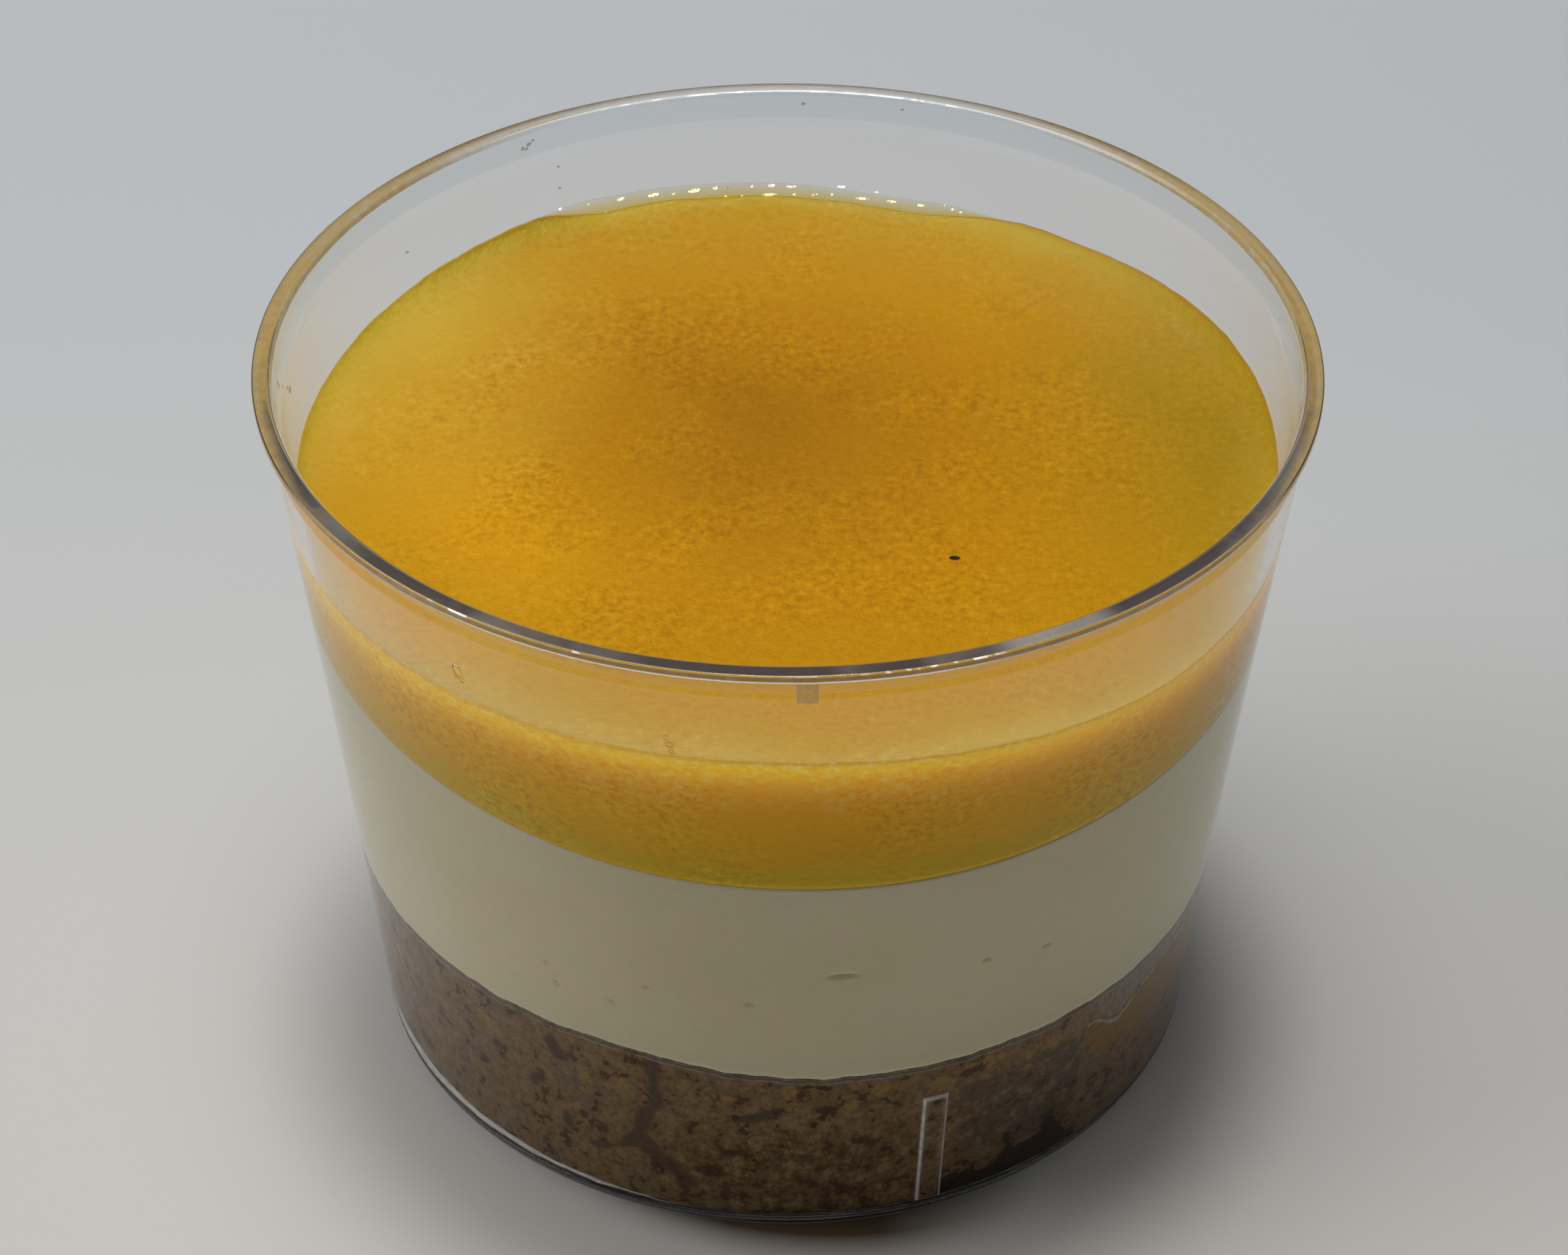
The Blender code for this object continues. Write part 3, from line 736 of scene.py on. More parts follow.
# Pressed crumbs in three sizes of noise, then the marks on the side, some of them painted shade, then the
# banded line along the top
def crumbFinish():
    c = crumb
    mat, shader = newMaterial("biscuit_crumb", (0.167, 0.115, 0.0664), Roughness=0.8, Specular_IOR_Level=0.0)
    where = objectPlace(mat)
    patch = noiseNode(mat, where, 0.0048, 3.0, 0.6)
    blots = noiseNode(mat, where, 0.00125, 3.0, 0.6)
    fine = noiseNode(mat, where, 0.00045, 3.0, 0.65)
    grainy, smooth = field(mat, "grain"), field(mat, "smooth")
    colour = rampNode(mat, patch, ((0.36, c["mauve"]), (0.47, c["tan"]), (0.56, c["between"]),
                                   (0.66, c["mauve"])))
    colour = mixNode(mat, smooth, colour, c["smoothTone"])
    colour = mixNode(mat, grainy, colour, c["looseTone"])
    # Paler crumbs, and pits between them in painted shade: fewer where the face is smooth, many small ones
    # where it is loose
    colour = mixNode(mat, remapNode(mat, blots, 0.53, 0.62, 0.0, 0.65), colour, c["paleTone"])
    loose = mathNode(mat, "SUBTRACT", slideNode(mat, grainy, 0.0, 0.035), slideNode(mat, smooth, 0.0, 0.035))
    pits = remapNode(mat, mathNode(mat, "SUBTRACT", blots, loose), 0.415, 0.375)
    colour = mixNode(mat, pits, colour, c["pitShadeTone"])
    speckle = rampNode(mat, fine, ((0.36, (0.55, 0.49, 0.42)), (0.48, (1, 1, 1)), (0.60, (1.3, 1.28, 1.22))))
    speckled = slideNode(mat, grainy, 0.65, 1.0)
    colour = mixNode(mat, speckled, colour, tintNode(mat, colour, speckle))
    # Colour masks, each with its own ragged edge from the noises; those of the crevices and the hollow are
    # painted shade
    ragged = mathNode(mat, "ADD", remapNode(mat, fine, 0.3, 0.7, -0.2, 0.2),
                      remapNode(mat, blots, 0.3, 0.7, -0.3, 0.3))
    for name, tone, low, high, strength in c["masks"]:
        mark = field(mat, name)
        mask = remapNode(mat, mathNode(mat, "ADD", mark, ragged), low, high, 0.0, strength)
        if name == "chip":
            mask = timesNode(mat, mask, remapNode(mat, mark, 0.02, 0.2))
        colour = mixNode(mat, mask, colour, mixNode(mat, 0.6, tone, tintNode(mat, tone, speckle)))
    # The line along the top: two thin dark lines, a violet-grey band and whitish bits under it
    below = mathNode(mat, "ADD", field(mat, "below"), remapNode(mat, fine, 0.3, 0.7, -0.11, 0.11))
    dark, grey, (pale, paler) = c["topLineDark"], c["topLineGrey"], c["topLinePale"]
    line = rampNode(mat, below, ((0.0, dark), (0.09, dark), (0.16, pale), (0.26, grey), (0.34, dark),
                                 (0.42, grey), (0.55, paler), (0.68, grey)))
    lineShare = timesNode(mat, remapNode(mat, below, 0.60, 0.75, 0.9, 0.0),
                    remapNode(mat, blots, 0.42, 0.58, 0.55, 1.0))
    join(mat, mixNode(mat, lineShare, colour, line), shader.inputs["Base Color"])
    bumpNode(mat, mathNode(mat, "ADD", blots, timesNode(mat, fine, 0.5)), shader, 0.0003, 0.6)
    return mat


crumbPiece = dress(makeCrumb(), crumbFinish(), "biscuit_crumb", "biscuit_base")
print("crumb base made:", len(crumbPiece.data.polygons), "faces")


# What can be changed on the cream layer
cream = {
    "columns": 560,
    "radius": 0.0315,            # middle radius of its side, for distances along it
    "voidReach": 1.6,            # columns lie closer over this many half-widths of a void
    # Little voids against the wall: angle, height, half-width and half-height in metres, depth
    "voids": ((6.8, 0.02645, 0.00150, 0.00030, 0.00045), (25.0, 0.02550, 0.00050, 0.00022, 0.00035),
              (33.6, 0.02471, 0.00060, 0.00020, 0.00030), (-29.4, 0.02195, 0.00035, 0.00028, 0.00030),
              (-30.6, 0.02359, 0.00022, 0.00020, 0.00025), (-17.2, 0.02413, 0.00040, 0.00030, 0.00016),
              (-21.7, 0.02186, 0.00045, 0.00024, 0.00028), (-4.4, 0.02373, 0.00055, 0.00034, 0.00018)),
    "clouds": ((0.78, 0.70, 0.46), (0.82, 0.74, 0.50)),
    "grain": (0.97, 0.97, 0.96),
}


# A turned block between the two uneven lines, whose side stands back from the wall at each void:
# depth * (1 - d^2)^2, d being the distance from its middle in half-widths
def makeCream():
    c = cream
    finer = []
    for angle, _, wide, _, _ in c["voids"]:
        reach = c["voidReach"] * math.degrees(wide / c["radius"])
        finer.append((angle - reach, angle + reach, 0.22))
    turn = spaced(-180, 180, c["columns"] + 1, sorted(finer))[:-1]
    share = spaced(0, 1, 56, ((0.26, 0.64, 0.005),))[:, None]
    sine = np.sin(np.radians(turn))
    high = creamTop(layers["creamRadius"] * sine)[None]
    low = creamLow(turn)[None]
    sideZ = high + (low - high) * share
    topR = np.linspace(0, 0.0325, 14)[:, None] + 0 * turn
    lowR = np.linspace(0.0302, 0, 12)[:, None] + 0 * turn
    r = np.concatenate([topR, wallInside(sideZ) + cup["bite"] * 1.5, lowR])
    z = np.concatenate([creamTop(topR * sine), sideZ, crumbTop(lowR * sine) - 0.0003])
    back = 0
    for angle, height, wide, tall, depth in c["voids"]:
        d = np.hypot(np.radians(turn - angle) * c["radius"] / wide, (z - height) / tall)
        back = back + (depth + cup["bite"]) * (1 - np.clip(d, 0, 1) ** 2) ** 2
    border = np.exp(-np.minimum(high - z, z - low) / 0.0006)
    points = roundPoints(r - back * (r > 0.0305), z, turn)
    return closedGrid("creamLayer", points, {"border": np.clip(border, 0, 1)})


# Ivory cream, faintly clouded; light doesn't spread in it along its borders, so that they stay sharp
def creamFinish():
    mat, shader = newMaterial("cream_cheese", (0.82, 0.72, 0.45), Roughness=0.5, Specular_IOR_Level=0.0,
                              Subsurface_Weight=0.8, Subsurface_Scale=0.003)
    shader.inputs["Subsurface Radius"].default_value = (1.0, 0.8, 0.45)
    where = objectPlace(mat)
    clouds = noiseNode(mat, where, 0.012, 3.0, 0.5)
    grain = noiseNode(mat, where, 0.0009, 3.0, 0.6)
    colour = rampNode(mat, clouds, tuple(zip((0.3, 0.7), cream["clouds"])))
    colour = tintNode(mat, colour, rampNode(mat, grain, ((0.3, cream["grain"]), (0.7, (1, 1, 1)))))
    join(mat, colour, shader.inputs["Base Color"])
    join(mat, remapNode(mat, field(mat, "border"), 0.0, 0.7, 0.8, 0.0), shader.inputs["Subsurface Weight"])
    bumpNode(mat, grain, shader, 0.00003, 0.4)
    return mat


creamPiece = dress(makeCream(), creamFinish(), "cream_cheese", "cream_layer")
print("cream layer made:", len(creamPiece.data.polygons), "faces")


# What can be changed on the fruit jelly
jelly = {
    "columns": 480,
    "climbLength": 0.0009,       # distance over which the climb at the wall fades
    "wave": 0.00006,
    "seed": 31,
    # Tones of its top from the middle outwards, each with its share of the radius; lighter towards the wall,
    # partly painted light that comes in through it
    "top": ((0.0, (0.66, 0.295, 0.0)), (0.50, (0.71, 0.325, 0.0)), (0.74, (0.70, 0.345, 0.001)),
            (0.90, (0.69, 0.385, 0.006)), (0.985, (0.72, 0.46, 0.04))),
    # Tones of its side from the edge down to the cream
    "side": ((0.0, (1.0, 0.58, 0.05)), (0.16, (1.0, 0.57, 0.03)), (0.42, (0.96, 0.54, 0.006)),
             (0.75, (0.88, 0.50, 0.006)), (1.0, (0.86, 0.54, 0.02))),
    # Patches of its top, most of them painted light and shade: middle, reach, colour and strength
    "patches": {
        "bright": ((-0.0210, -0.0040, 0.046), (0.018, 0.022, 0.03), (0.90, 0.43, 0.001), 0.9),
        "brown": ((-0.0035, 0.0045, 0.046), (0.024, 0.019, 0.03), (0.50, 0.215, 0.0), 0.95),
        "olive": ((0.0310, 0.0060, 0.046), (0.019, 0.030, 0.03), (0.46, 0.27, 0.003), 0.8),
        "pale": ((-0.0270, 0.0130, 0.046), (0.016, 0.022, 0.03), (0.84, 0.56, 0.05), 0.6),
        "seedSpeck": ((0.01148, -0.01119, 0.0460), (0.00045, 0.00028, 0.004), (0.03, 0.012, 0.004), 4.0),
    },
    # Fruit pulp: what its flecks multiply the colour by, as its noise rises
    "flecks": ((0.36, (0.84, 0.79, 0.6)), (0.47, (1, 1, 1)), (0.55, (1.04, 1.05, 1.4)),
               (0.65, (1.15, 1.20, 2.4))),
    "pulpSize": 0.00060,
    "grainTone": (1.0, 0.69, 0.25),     # granules along the upper edge of the side
    "lineTone": (0.50, 0.24, 0.01),     # dark line where the top meets the wall
    "clearFrom": 149.0,          # at the back, between these angles, its edge is clear gel
    "clearTo": 214.0,
    "clearDrop": 0.0012,         # the coloured edge lies this much lower there
    # painted glow along the upper edge of its side
    "edgeGlow": 0.19,
    "glowTone": (1.0, 0.54, 0.05),
}


# Height of the coloured edge on the wall, and 1 where clear gel stands over it
def jellyEdge(turn):
    j = jelly
    past = turn % 360
    clear = ease(past, j["clearFrom"], j["clearFrom"] + 16) * ease(past, j["clearTo"], j["clearTo"] - 10)
    return layers["jellyLevel"] + layers["jellyClimb"] + jellyWaves(turn, 0.0) - j["clearDrop"] * clear, clear


# Level jelly with shallow waves that die out at the wall, where it climbs by rise * exp(-distance / length)
def makeJelly():
    j = jelly
    turn = np.linspace(-180, 180, j["columns"] + 1)[:-1]
    sine = np.sin(np.radians(turn))
    contact, clear = jellyEdge(turn)
    around = roundPoints(layers["edgeRadius"], 0.0, turn)
    contact = contact + 0.00008 * roughNoise(around, 0.0022, 3, j["seed"] + 3)
    low = creamTop(layers["creamRadius"] * sine)
    wall = wallInside(contact)[None] + cup["bite"]
    steps = spaced(0, 1, 60, ((0.90, 1.0, 0.003),))[:, None]
    topR = wall * steps
    fromWall = wall - topR
    share = np.append(0.001, np.linspace(0, 1, 30)[1:])[:, None]
    sideZ = contact + (low - contact) * share
    lowR = np.linspace(0.0325, 0, 14)[:, None] + 0 * turn
    spot = roundPoints(topR, 0.0, turn)
    waves = j["wave"] * roughNoise(spot, 0.009, 2, j["seed"]) * (1 - ease(topR, 0.028, 0.033))
    flat = layers["jellyLevel"] + jellyWaves(turn, fromWall) + waves
    rise = contact - (layers["jellyLevel"] + jellyWaves(turn, 0.0))
    topZ = flat + rise * np.exp(-fromWall / j["climbLength"])
    r = np.concatenate([topR, wallInside(sideZ) + cup["bite"], lowR])
    z = np.concatenate([topZ, sideZ, creamTop(lowR * sine)])
    side = np.concatenate([topR * 0, sideZ * 0 + 1, lowR * 0 + 1])
    below = np.concatenate([topR * 0, contact - sideZ, lowR * 0]) * 1000
    line = np.exp(-np.concatenate([fromWall, contact - sideZ, lowR * 0 + 1]) / 0.00012)
    border = np.exp(-np.concatenate([fromWall, np.minimum(sideZ - low, contact - sideZ), lowR * 0]) / 0.0006)
    line = line * (1 - clear) * np.maximum(ease(turn, 45, 75), 0.5 * ease(-turn, 132, 150))
    down = contact - z
    glow = side * (0.9 * np.exp(-(down / 0.0003) ** 2) + 0.9 * np.exp(-(down / 0.0026) ** 2))
    return closedGrid("fruitJelly", roundPoints(r, z, turn),
                      {"side": side, "line": line, "below": below, "border": border, "glow": glow})


# Amber jelly full of pulp: one set of tones across its top, another down its side
def jellyFinish():
    j = jelly
    mat, shader = newMaterial("fruit_jelly", (0.64, 0.29, 0.002), Roughness=0.16, IOR=1.38,
                              Subsurface_Scale=0.005, Coat_Roughness=0.06)
    shader.inputs["Subsurface Radius"].default_value = (1.0, 0.75, 0.25)
    where = objectPlace(mat)
    side = field(mat, "side")
    patch = noiseNode(mat, where, 0.012, 2.0, 0.5)
    # Across the top, outwards from its middle: amber, golden, then yellow where the jelly thins at the wall
    # and painted light comes in through it
    flat = addNode(mat, "Mapping", Scale=(1, 1, 0))
    join(mat, where, flat.inputs["Vector"])
    out = addNode(mat, "VectorMath", operation="LENGTH")
    join(mat, flat.outputs["Vector"], out.inputs[0])
    radial = mathNode(mat, "ADD", mathNode(mat, "DIVIDE", out.outputs["Value"], layers["jellyRadius"]),
                      remapNode(mat, patch, 0.3, 0.7, -0.06, 0.06))
    body = rampNode(mat, radial, j["top"])
    # Painted light on its left, brighter orange; painted shade behind the middle, browner, and on its right,
    # olive; paler at the back left; a dark seed speck
    for place, reach, tone, strength in j["patches"].values():
        local = addNode(mat, "Mapping", vector_type="TEXTURE", Location=place, Scale=reach)
        join(mat, where, local.inputs["Vector"])
        ball = addNode(mat, "TexGradient", gradient_type="SPHERICAL")
        join(mat, local.outputs["Vector"], ball.inputs["Vector"])
        uneven = remapNode(mat, patch, 0.3, 0.7, strength * 0.7, strength * 1.3)
        body = mixNode(mat, timesNode(mat, ball.outputs["Fac"], uneven), body, tone)
    # Against the wall: bright gold under the edge, deeper amber down to the cream
    down = mathNode(mat, "ADD", field(mat, "below"), remapNode(mat, patch, 0.3, 0.7, -1.4, 1.4))
    down = remapNode(mat, down, 0.0, 12.0)
    colour = mixNode(mat, side, body, rampNode(mat, down, j["side"]))
    # Fruit pulp: fine flecks, paler and darker, in some places more than in others
    pulp = noiseNode(mat, where, j["pulpSize"], 3.0, 0.62, (1, 1, 1.7))
    some = remapNode(mat, noiseNode(mat, where, 0.009, 2.0, 0.5), 0.40, 0.58, 0.25, 1.0)
    inward = remapNode(mat, radial, 0.60, 0.85, 1.0, 0.45)
    some = timesNode(mat, some, mathNode(mat, "MAXIMUM", side, inward))
    colour = mixNode(mat, some, colour, tintNode(mat, colour, rampNode(mat, pulp, j["flecks"])))
    grains = timesNode(mat, side, remapNode(mat, down, 0.05, 0.45, 0.8, 0.0))
    grains = timesNode(mat, remapNode(mat, pulp, 0.53, 0.62), grains)
    colour = mixNode(mat, grains, colour, j["grainTone"])
    colour = mixNode(mat, field(mat, "line"), colour, j["lineTone"])
    join(mat, colour, shader.inputs["Base Color"])
    join(mat, remapNode(mat, field(mat, "border"), 0.0, 0.7, 1.0, 0.0), shader.inputs["Subsurface Weight"])
    # Painted glow: emission standing in for light that comes through the thin jelly at its upper edge
    shader.inputs["Emission Color"].default_value = (*j["glowTone"], 1)
    glow = slideNode(mat, field(mat, "glow"), 0.0, j["edgeGlow"])
    join(mat, glow, shader.inputs["Emission Strength"])
    # Only the open top mirrors the light
    join(mat, slideNode(mat, side, 0.2, 0.0), shader.inputs["Specular IOR Level"])
    join(mat, slideNode(mat, side, 0.08, 0.0), shader.inputs["Coat Weight"])
    join(mat, remapNode(mat, pulp, 0.3, 0.7, 0.12, 0.30), shader.inputs["Roughness"])
    bumpNode(mat, pulp, shader, 0.00022, 0.6)
    return mat


jellyPiece = dress(makeJelly(), jellyFinish(), "fruit_jelly", "fruit_topping")
print("fruit jelly made:", len(jellyPiece.data.polygons), "faces")


# What can be changed on the clear gel on the back wall, above the coloured edge
film = {
    "from": 146.0,
    "to": 222.0,
    "columns": 300,
    "rows": 18,
    "rise": 0.0012,
    "behind": 0.0002,            # how far it starts below the coloured edge
    "thick": 0.00032,
    "seed": 51,
    "colour": (1.0, 0.985, 0.86),
    "lowColour": (0.94, 0.70, 0.13),    # tinted where it leaves the coloured jelly
    "passing": (0.98, 0.95, 0.82),
}


# A strip on the wall, from one end to the other. Going up it, thickness = thick * (1 - t)^1.2, t from 0 to 1,
# lumpy, and height and thickness both shrink to nothing at its two ends
def makeFilm():
    f = film
    turn = np.linspace(f["from"], f["to"], f["columns"])[:, None]
    edge, clear = jellyEdge(turn)
    clear = clear * ease(turn, f["from"], f["from"] + 14) * ease(turn, f["to"], f["to"] - 10)
    t = np.linspace(0, 1, f["rows"])[None]
    around = roundPoints(layers["edgeRadius"], 0.0, turn)
    rise = f["rise"] * (1 + 0.25 * roughNoise(around, 0.006, 2, f["seed"] + 2))
    z = edge - f["behind"] * clear + (rise + f["behind"]) * clear * t
    around = roundPoints(layers["edgeRadius"], z, turn)
    lumps = 1 + 0.35 * roughNoise(around, 0.0009, 2, f["seed"]) + 0.25 * roughNoise(around, 0.003, 2, 7)
    thick = f["thick"] * clear * (1 - t) ** 1.2 * np.clip(lumps, 0.2, 2)
    sunk = cup["bite"] * clear
    inner = roundPoints(wallInside(z) - thick + 0.4 * sunk * t, z, turn)
    outer = roundPoints(wallInside(z) + sunk, z, turn)[:, ::-1]
    level = np.concatenate([t + 0 * z, (t + 0 * z)[:, ::-1]], 1)
    return closedGrid("clearGel", np.concatenate([inner, outer], 1), {"level": level})


# Clear gel, tinted at its lower edge
def filmFinish():
    f = film
    mat, shader = newMaterial("clear_gel", f["colour"], Roughness=0.03, IOR=1.36, Transmission_Weight=1.0)
    tone = mixNode(mat, remapNode(mat, field(mat, "level"), 0.1, 1.0), f["lowColour"], f["colour"])
    join(mat, tone, shader.inputs["Base Color"])
    bumpNode(mat, noiseNode(mat, objectPlace(mat), 0.0006, 2.0, 0.6), shader, 0.00005, 0.5)
    letLightThrough(mat, shader, f["passing"])
    return mat


filmPiece = dress(makeFilm(), filmFinish(), "fruit_jelly")
print("clear gel made:", len(filmPiece.data.polygons), "faces")


# What can be changed on the specks and splashes on the inside of the wall
splashes = {
    # Each place: degrees, height, half-width and half-height in mm. First the wet beads at the
    # back, in two rows, with painted glints
    "beads": ((192, 47.83, 0.51, 0.17), (197.3, 47.9, 0.47, 0.13), (182.1, 47.86, 0.27, 0.12),
              (179.6, 47.75, 0.41, 0.09), (173.2, 47.9, 0.38, 0.09), (201.6, 48.05, 0.34, 0.11),
              (189.3, 47.86, 0.19, 0.14), (187.8, 47.8, 0.14, 0.09), (209.9, 48.45, 0.17, 0.09),
              (184.6, 47.84, 0.12, 0.11), (194.7, 47.78, 0.14, 0.09), (206, 48.2, 0.08, 0.07),
              (170.6, 47.05, 0.58, 0.1), (182.4, 47.10, 0.56, 0.10), (166.8, 47.05, 0.42, 0.11),
              (163, 47.1, 0.34, 0.09), (197.5, 46.95, 0.17, 0.09), (158.7, 47.25, 0.11, 0.09),
              (174.5, 47.2, 0.2, 0.09), (186, 47.1, 0.14, 0.07), (157.6, 47.15, 0.1, 0.08),
              (200.8, 46.95, 0.14, 0.07), (159.7, 47.45, 0.1, 0.08), (194.4, 47.02, 0.16, 0.08),
              (179.2, 47.1, 0.14, 0.08), (188, 47.08, 0.12, 0.09), (176.6, 47.12, 0.24, 0.08),
              (191.3, 47.05, 0.22, 0.08), (203.6, 47.2, 0.12, 0.06), (168.7, 47.7, 0.14, 0.05)),
    # Clear splashes of jelly on the left of the front
    "pale": ((-37.5, 48.9, 0.50, 0.62), (-37.0, 48.4, 0.32, 0.30), (-12.4, 47.9, 0.35, 0.30),
             (-12.7, 48.5, 0.22, 0.30), (-12.2, 47.3, 0.25, 0.28)),
    # Faint specks under the lip, at the sides and the back
    "dark": ((209.6, 51.9, 0.12, 0.12), (209.7, 50.15, 0.13, 0.12), (213.2, 54.3, 0.24, 0.15),
             (214.1, 54.1, 0.14, 0.18), (212.6, 54.5, 0.17, 0.10), (213.6, 54.0, 0.18, 0.12),
             (267.6, 51.1, 0.30, 0.30), (268.4, 51.6, 0.14, 0.16), (101.0, 53.8, 0.15, 0.10),
             (166.0, 54.6, 0.18, 0.08), (178.2, 54.5, 0.20, 0.12), (233.6, 50.4, 0.20, 0.10)),
    "proud": 0.35,               # how far they stand out, against their half-width
    # Colour, roughness, darker tone, strength of the glints and how much of the wall it covers
    "beadFinish": ((0.98, 0.93, 0.72), 0.10, (0.95, 0.86, 0.5), 1.1, 1.0),
    "speckFinish": ((0.70, 0.64, 0.52), 0.6, (0.45, 0.38, 0.28), 0.0, 0.35),
    "glintTone": (1, 0.97, 0.84),
    "passing": (0.98, 0.96, 0.88),
}


# A squashed ball on the wall at each place: along the wall, up it and out of it
def makeSplashes(name, places):
    angle, height, wide, tall = np.array(places).T[:, :, None, None]
    lean = np.linspace(0, math.pi, 9)[:, None]
    turn = np.linspace(0, 2 * math.pi, 13)[:-1]
    wobble = 1 + 0.10 * np.sin(2 * turn + height) * np.sin(lean)
    along = wide * np.sin(lean) * np.cos(turn) * wobble / 1000
    up = tall * np.sin(lean) * np.sin(turn) * wobble / 1000
    out = splashes["proud"] * np.minimum(wide, tall) * np.cos(lean) / 1000 + 0 * turn
    z = height / 1000 + up
    grids = roundPoints(wallInside(z) - out, z, angle + np.degrees(along / layers["edgeRadius"]))
    rows, columns = grids.shape[1:3]
    faces = np.array(gridFaces(np.arange(rows) * columns, columns))
    faces = (faces + np.arange(len(places))[:, None, None] * rows * columns).reshape(-1, 4)
    obj = linkMesh(name, grids.reshape(-1, 3), faces.tolist(), {})
    obj.modifiers.new("poles", "WELD").merge_threshold = 1e-6
    return obj


# Two tones mixed by noise; with gleam, clear gel with a painted glint that glows where a finer noise is high
def splashFinish(name, colour, roughness, lowTone, gleam, cover):
    mat, shader = newMaterial(name, colour, Roughness=roughness, Alpha=cover)
    where = objectPlace(mat)
    tone = noiseNode(mat, where, 0.0003, 2.0, 0.6)
    join(mat, rampNode(mat, tone, ((0.35, lowTone), (0.65, colour))), shader.inputs["Base Color"])
    if gleam:
        # Painted glint, broken up: glowing where a finer noise is high, clear gel between
        bright = remapNode(mat, noiseNode(mat, where, 0.00022, 1.0, 0.5), 0.41, 0.51)
        shader.inputs["Emission Color"].default_value = (*splashes["glintTone"], 1)
        join(mat, timesNode(mat, bright, gleam), shader.inputs["Emission Strength"])
        join(mat, slideNode(mat, bright, 0.85, 0.0), shader.inputs["Transmission Weight"])
        letLightThrough(mat, shader, splashes["passing"])
    return mat


beadMat = splashFinish("wet_bead_painted_glint", *splashes["beadFinish"])
speckMat = splashFinish("dark_speck", *splashes["speckFinish"])
dress(makeSplashes("wetBeadsPaintedGlint", splashes["beads"]), beadMat, "fruit_jelly")
dress(makeSplashes("clearSplashes", splashes["pale"]), filmPiece.data.materials[0], "fruit_jelly")
dress(makeSplashes("darkSpecks", splashes["dark"]), speckMat, "biscuit_crumb")
print("splashes and specks made:", len(splashes["pale"]) + len(splashes["dark"]))


# What can be changed on the floor and the light
studio = {
    "floorFront": (0.785, 0.765, 0.73),
    "floorBack": (0.705, 0.735, 0.755),
    "floorTurns": (-0.03, 0.10),        # y over which the one tone becomes the other
    "floorHalf": 3.0,
    "mottle": (0.985, 0.985, 0.985),
    "mottleSize": 0.08,
    "footShade": (0.16, 0.11, 0.062),   # painted shade and painted reflection of the crumb on the floor against the foot
    "shadeMiddle": (0.0035, -0.0040, 0.0),
    "shadeFrom": 0.0262,                # full at this distance from its middle
    "shadeTo": 0.0298,                  # and gone at this one
    "shadeLeft": (-0.026, -0.004),      # x over which it comes in from the left
    "shadeRight": (0.007, 0.018),       # and over which it goes again
    "world": (0.02, 0.021, 0.022),
    "mirrored": (0.14, 0.145, 0.15),    # the room as shiny pieces mirror it
    "through": (0.42, 0.43, 0.44),      # and as it shows beyond the floor and through clear ones
    "aim": (0.0, 0.0, 0.03),            # where all lights point
    # Place, width and power of each light: overhead, a lamp in it that glints, left and a little behind
    "lights": {
        "overhead": ((0.0, 0.0, 1.0), 0.7, 2.1),
        "lamp": ((0.0, 0.10, 1.0), 0.22, 2.2),
        "leftSide": ((-0.75, 0.0, 0.75), 0.7, 2.7),
        "behind": ((-0.18, 0.42, 0.95), 0.7, 1.3),
    },
}


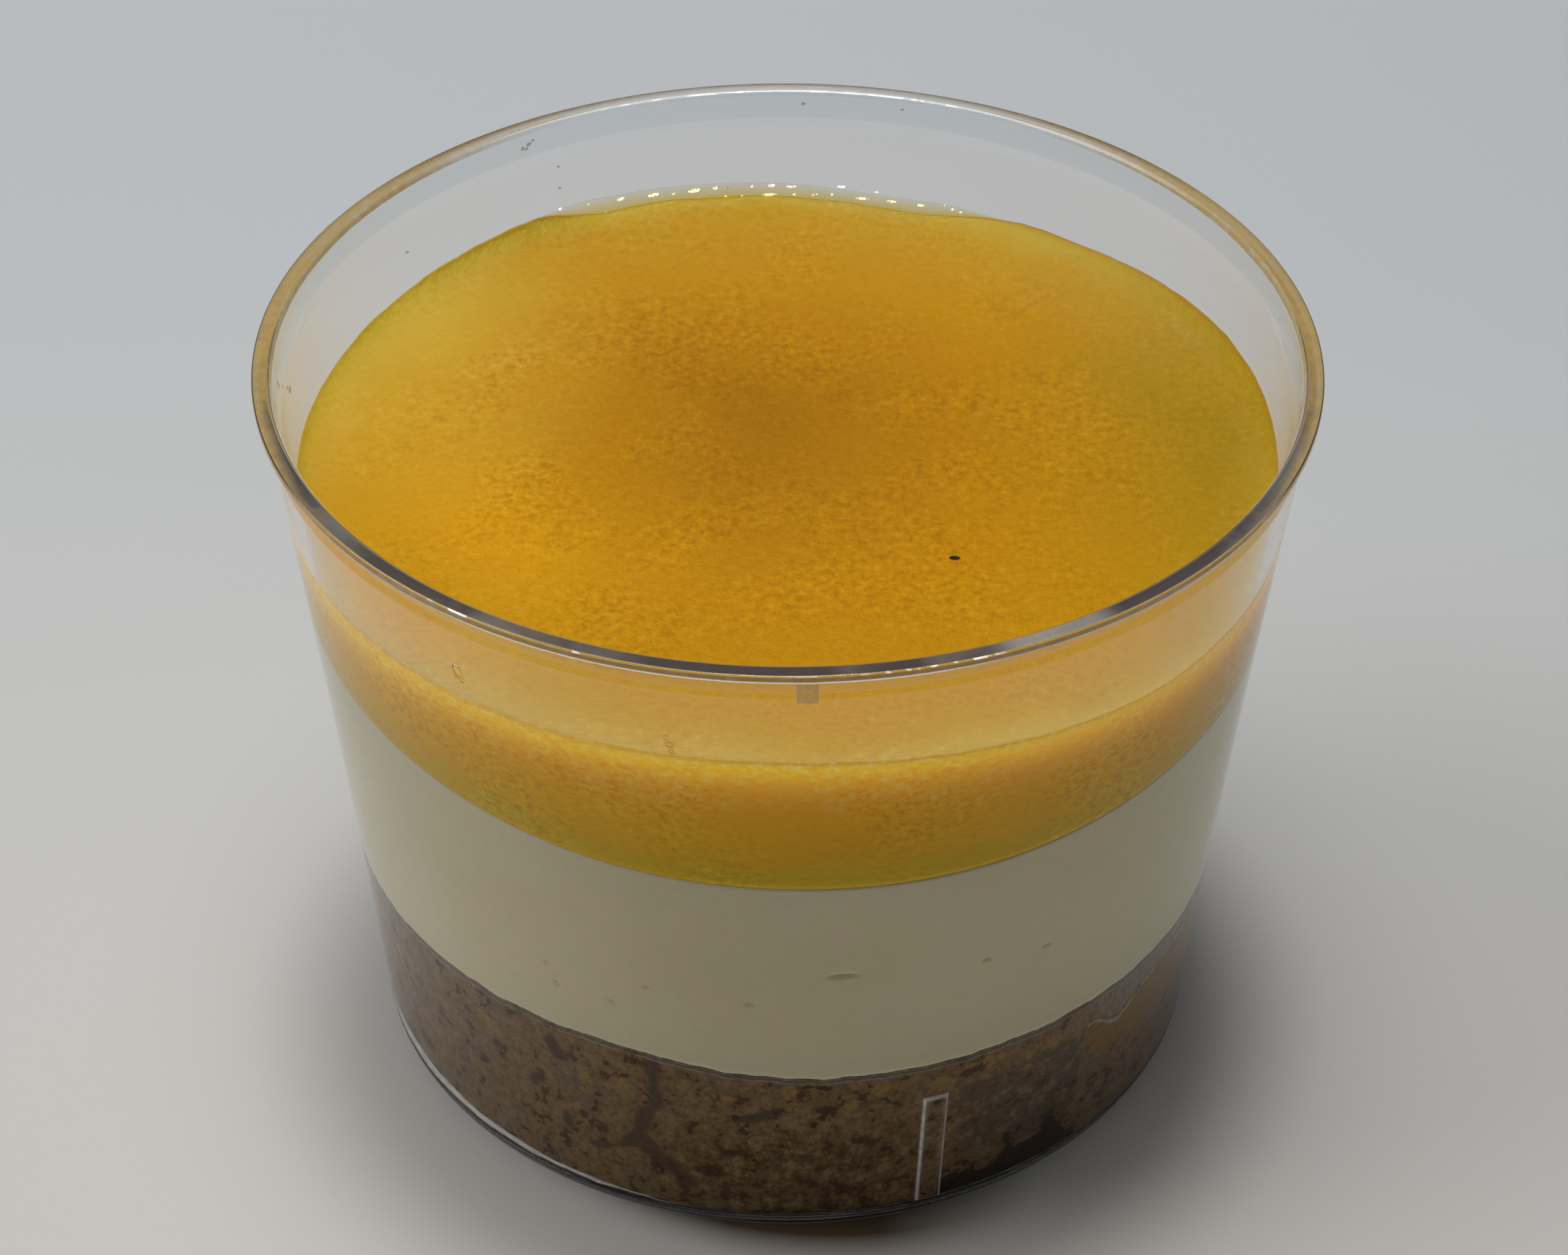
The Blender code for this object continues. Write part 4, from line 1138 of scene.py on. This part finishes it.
# A level square whose tone drifts from front to back, with a painted shade against the foot: 1 up to
# shadeFrom, 0 beyond shadeTo, to the power 1.5
def makeFloor():
    s = studio
    half = s["floorHalf"]
    mesh = bpy.data.meshes.new("floor")
    corners = [(-half, -half, 0), (half, -half, 0), (half, half, 0), (-half, half, 0)]
    mesh.from_pydata(corners, [], [(0, 1, 2, 3)])
    floor = bpy.data.objects.new("floor", mesh)
    bpy.context.scene.collection.objects.link(floor)
    mat, shader = newMaterial("pale_floor", s["floorBack"], Roughness=0.55)
    where = objectPlace(mat)
    across = addNode(mat, "SeparateXYZ")
    join(mat, where, across.inputs[0])
    x, y = across.outputs["X"], across.outputs["Y"]
    colour = mixNode(mat, remapNode(mat, y, *s["floorTurns"]), s["floorFront"], s["floorBack"])
    mottle = noiseNode(mat, where, s["mottleSize"], 2.0, 0.5)
    colour = tintNode(mat, colour, rampNode(mat, mottle, ((0.3, s["mottle"]), (0.7, (1, 1, 1)))))
    away = addNode(mat, "VectorMath", operation="DISTANCE")
    join(mat, where, away.inputs[0])
    away.inputs[1].default_value = s["shadeMiddle"]
    near = remapNode(mat, away.outputs["Value"], s["shadeFrom"], s["shadeTo"], 1.0, 0.0)
    near = timesNode(mat, mathNode(mat, "POWER", near, 1.5), remapNode(mat, x, *s["shadeLeft"]))
    near = timesNode(mat, near, remapNode(mat, x, *s["shadeRight"], 1.0, 0.0))
    colour = mixNode(mat, near, colour, tintNode(mat, colour, s["footShade"]))
    join(mat, colour, shader.inputs["Base Color"])
    mesh.materials.append(mat)


# A round lamp that points at the part
def softLight(name, place, size, power):
    data = bpy.data.lights.new(name, "AREA")
    data.shape = "DISK"
    data.size = size
    data.energy = power
    light = bpy.data.objects.new(name, data)
    bpy.context.scene.collection.objects.link(light)
    light.location = place
    aim = Vector(place) - Vector(studio["aim"])
    light.rotation_euler = aim.to_track_quat("Z", "Y").to_euler()


# Where the photo was taken from
camera = {
    "place": (-0.00020, -0.25297, 0.22183),
    "down": 36.96,               # degrees below the horizon
    "roll": 0.21,
    "focalPixels": 6000.0,       # in a picture 2156 pixels wide
    "pictureWide": 2156.0,
}


# The photo's camera: looks along +Y and down, turned a little about its own axis
def makeCamera():
    c = camera
    data = bpy.data.cameras.new("camera")
    data.sensor_width = 36.0
    data.lens = c["focalPixels"] / c["pictureWide"] * data.sensor_width
    data.clip_start = 0.01
    obj = bpy.data.objects.new("camera", data)
    bpy.context.scene.collection.objects.link(obj)
    tilt = Matrix.Rotation(math.radians(90 - c["down"]), 4, "X")
    roll = Matrix.Rotation(math.radians(c["roll"]), 4, "Z")
    obj.matrix_world = Matrix.Translation(c["place"]) @ (tilt @ roll)
    bpy.context.scene.camera = obj


makeFloor()
for title, (place, size, power) in studio["lights"].items():
    softLight(title, place, size, power)
world = bpy.data.worlds.new("studio")
world.use_nodes = True
path = addNode(world, "LightPath")
room = mixNode(world, path.outputs["Is Glossy Ray"], studio["world"], studio["mirrored"])
seen = mathNode(world, "MAXIMUM", path.outputs["Is Transmission Ray"], path.outputs["Is Camera Ray"])
room = mixNode(world, seen, room, studio["through"])
join(world, room, world.node_tree.nodes["Background"].inputs["Color"])
bpy.context.scene.world = world
bpy.context.scene.view_settings.view_transform = "Standard"
makeCamera()
print("floor, light and camera set")
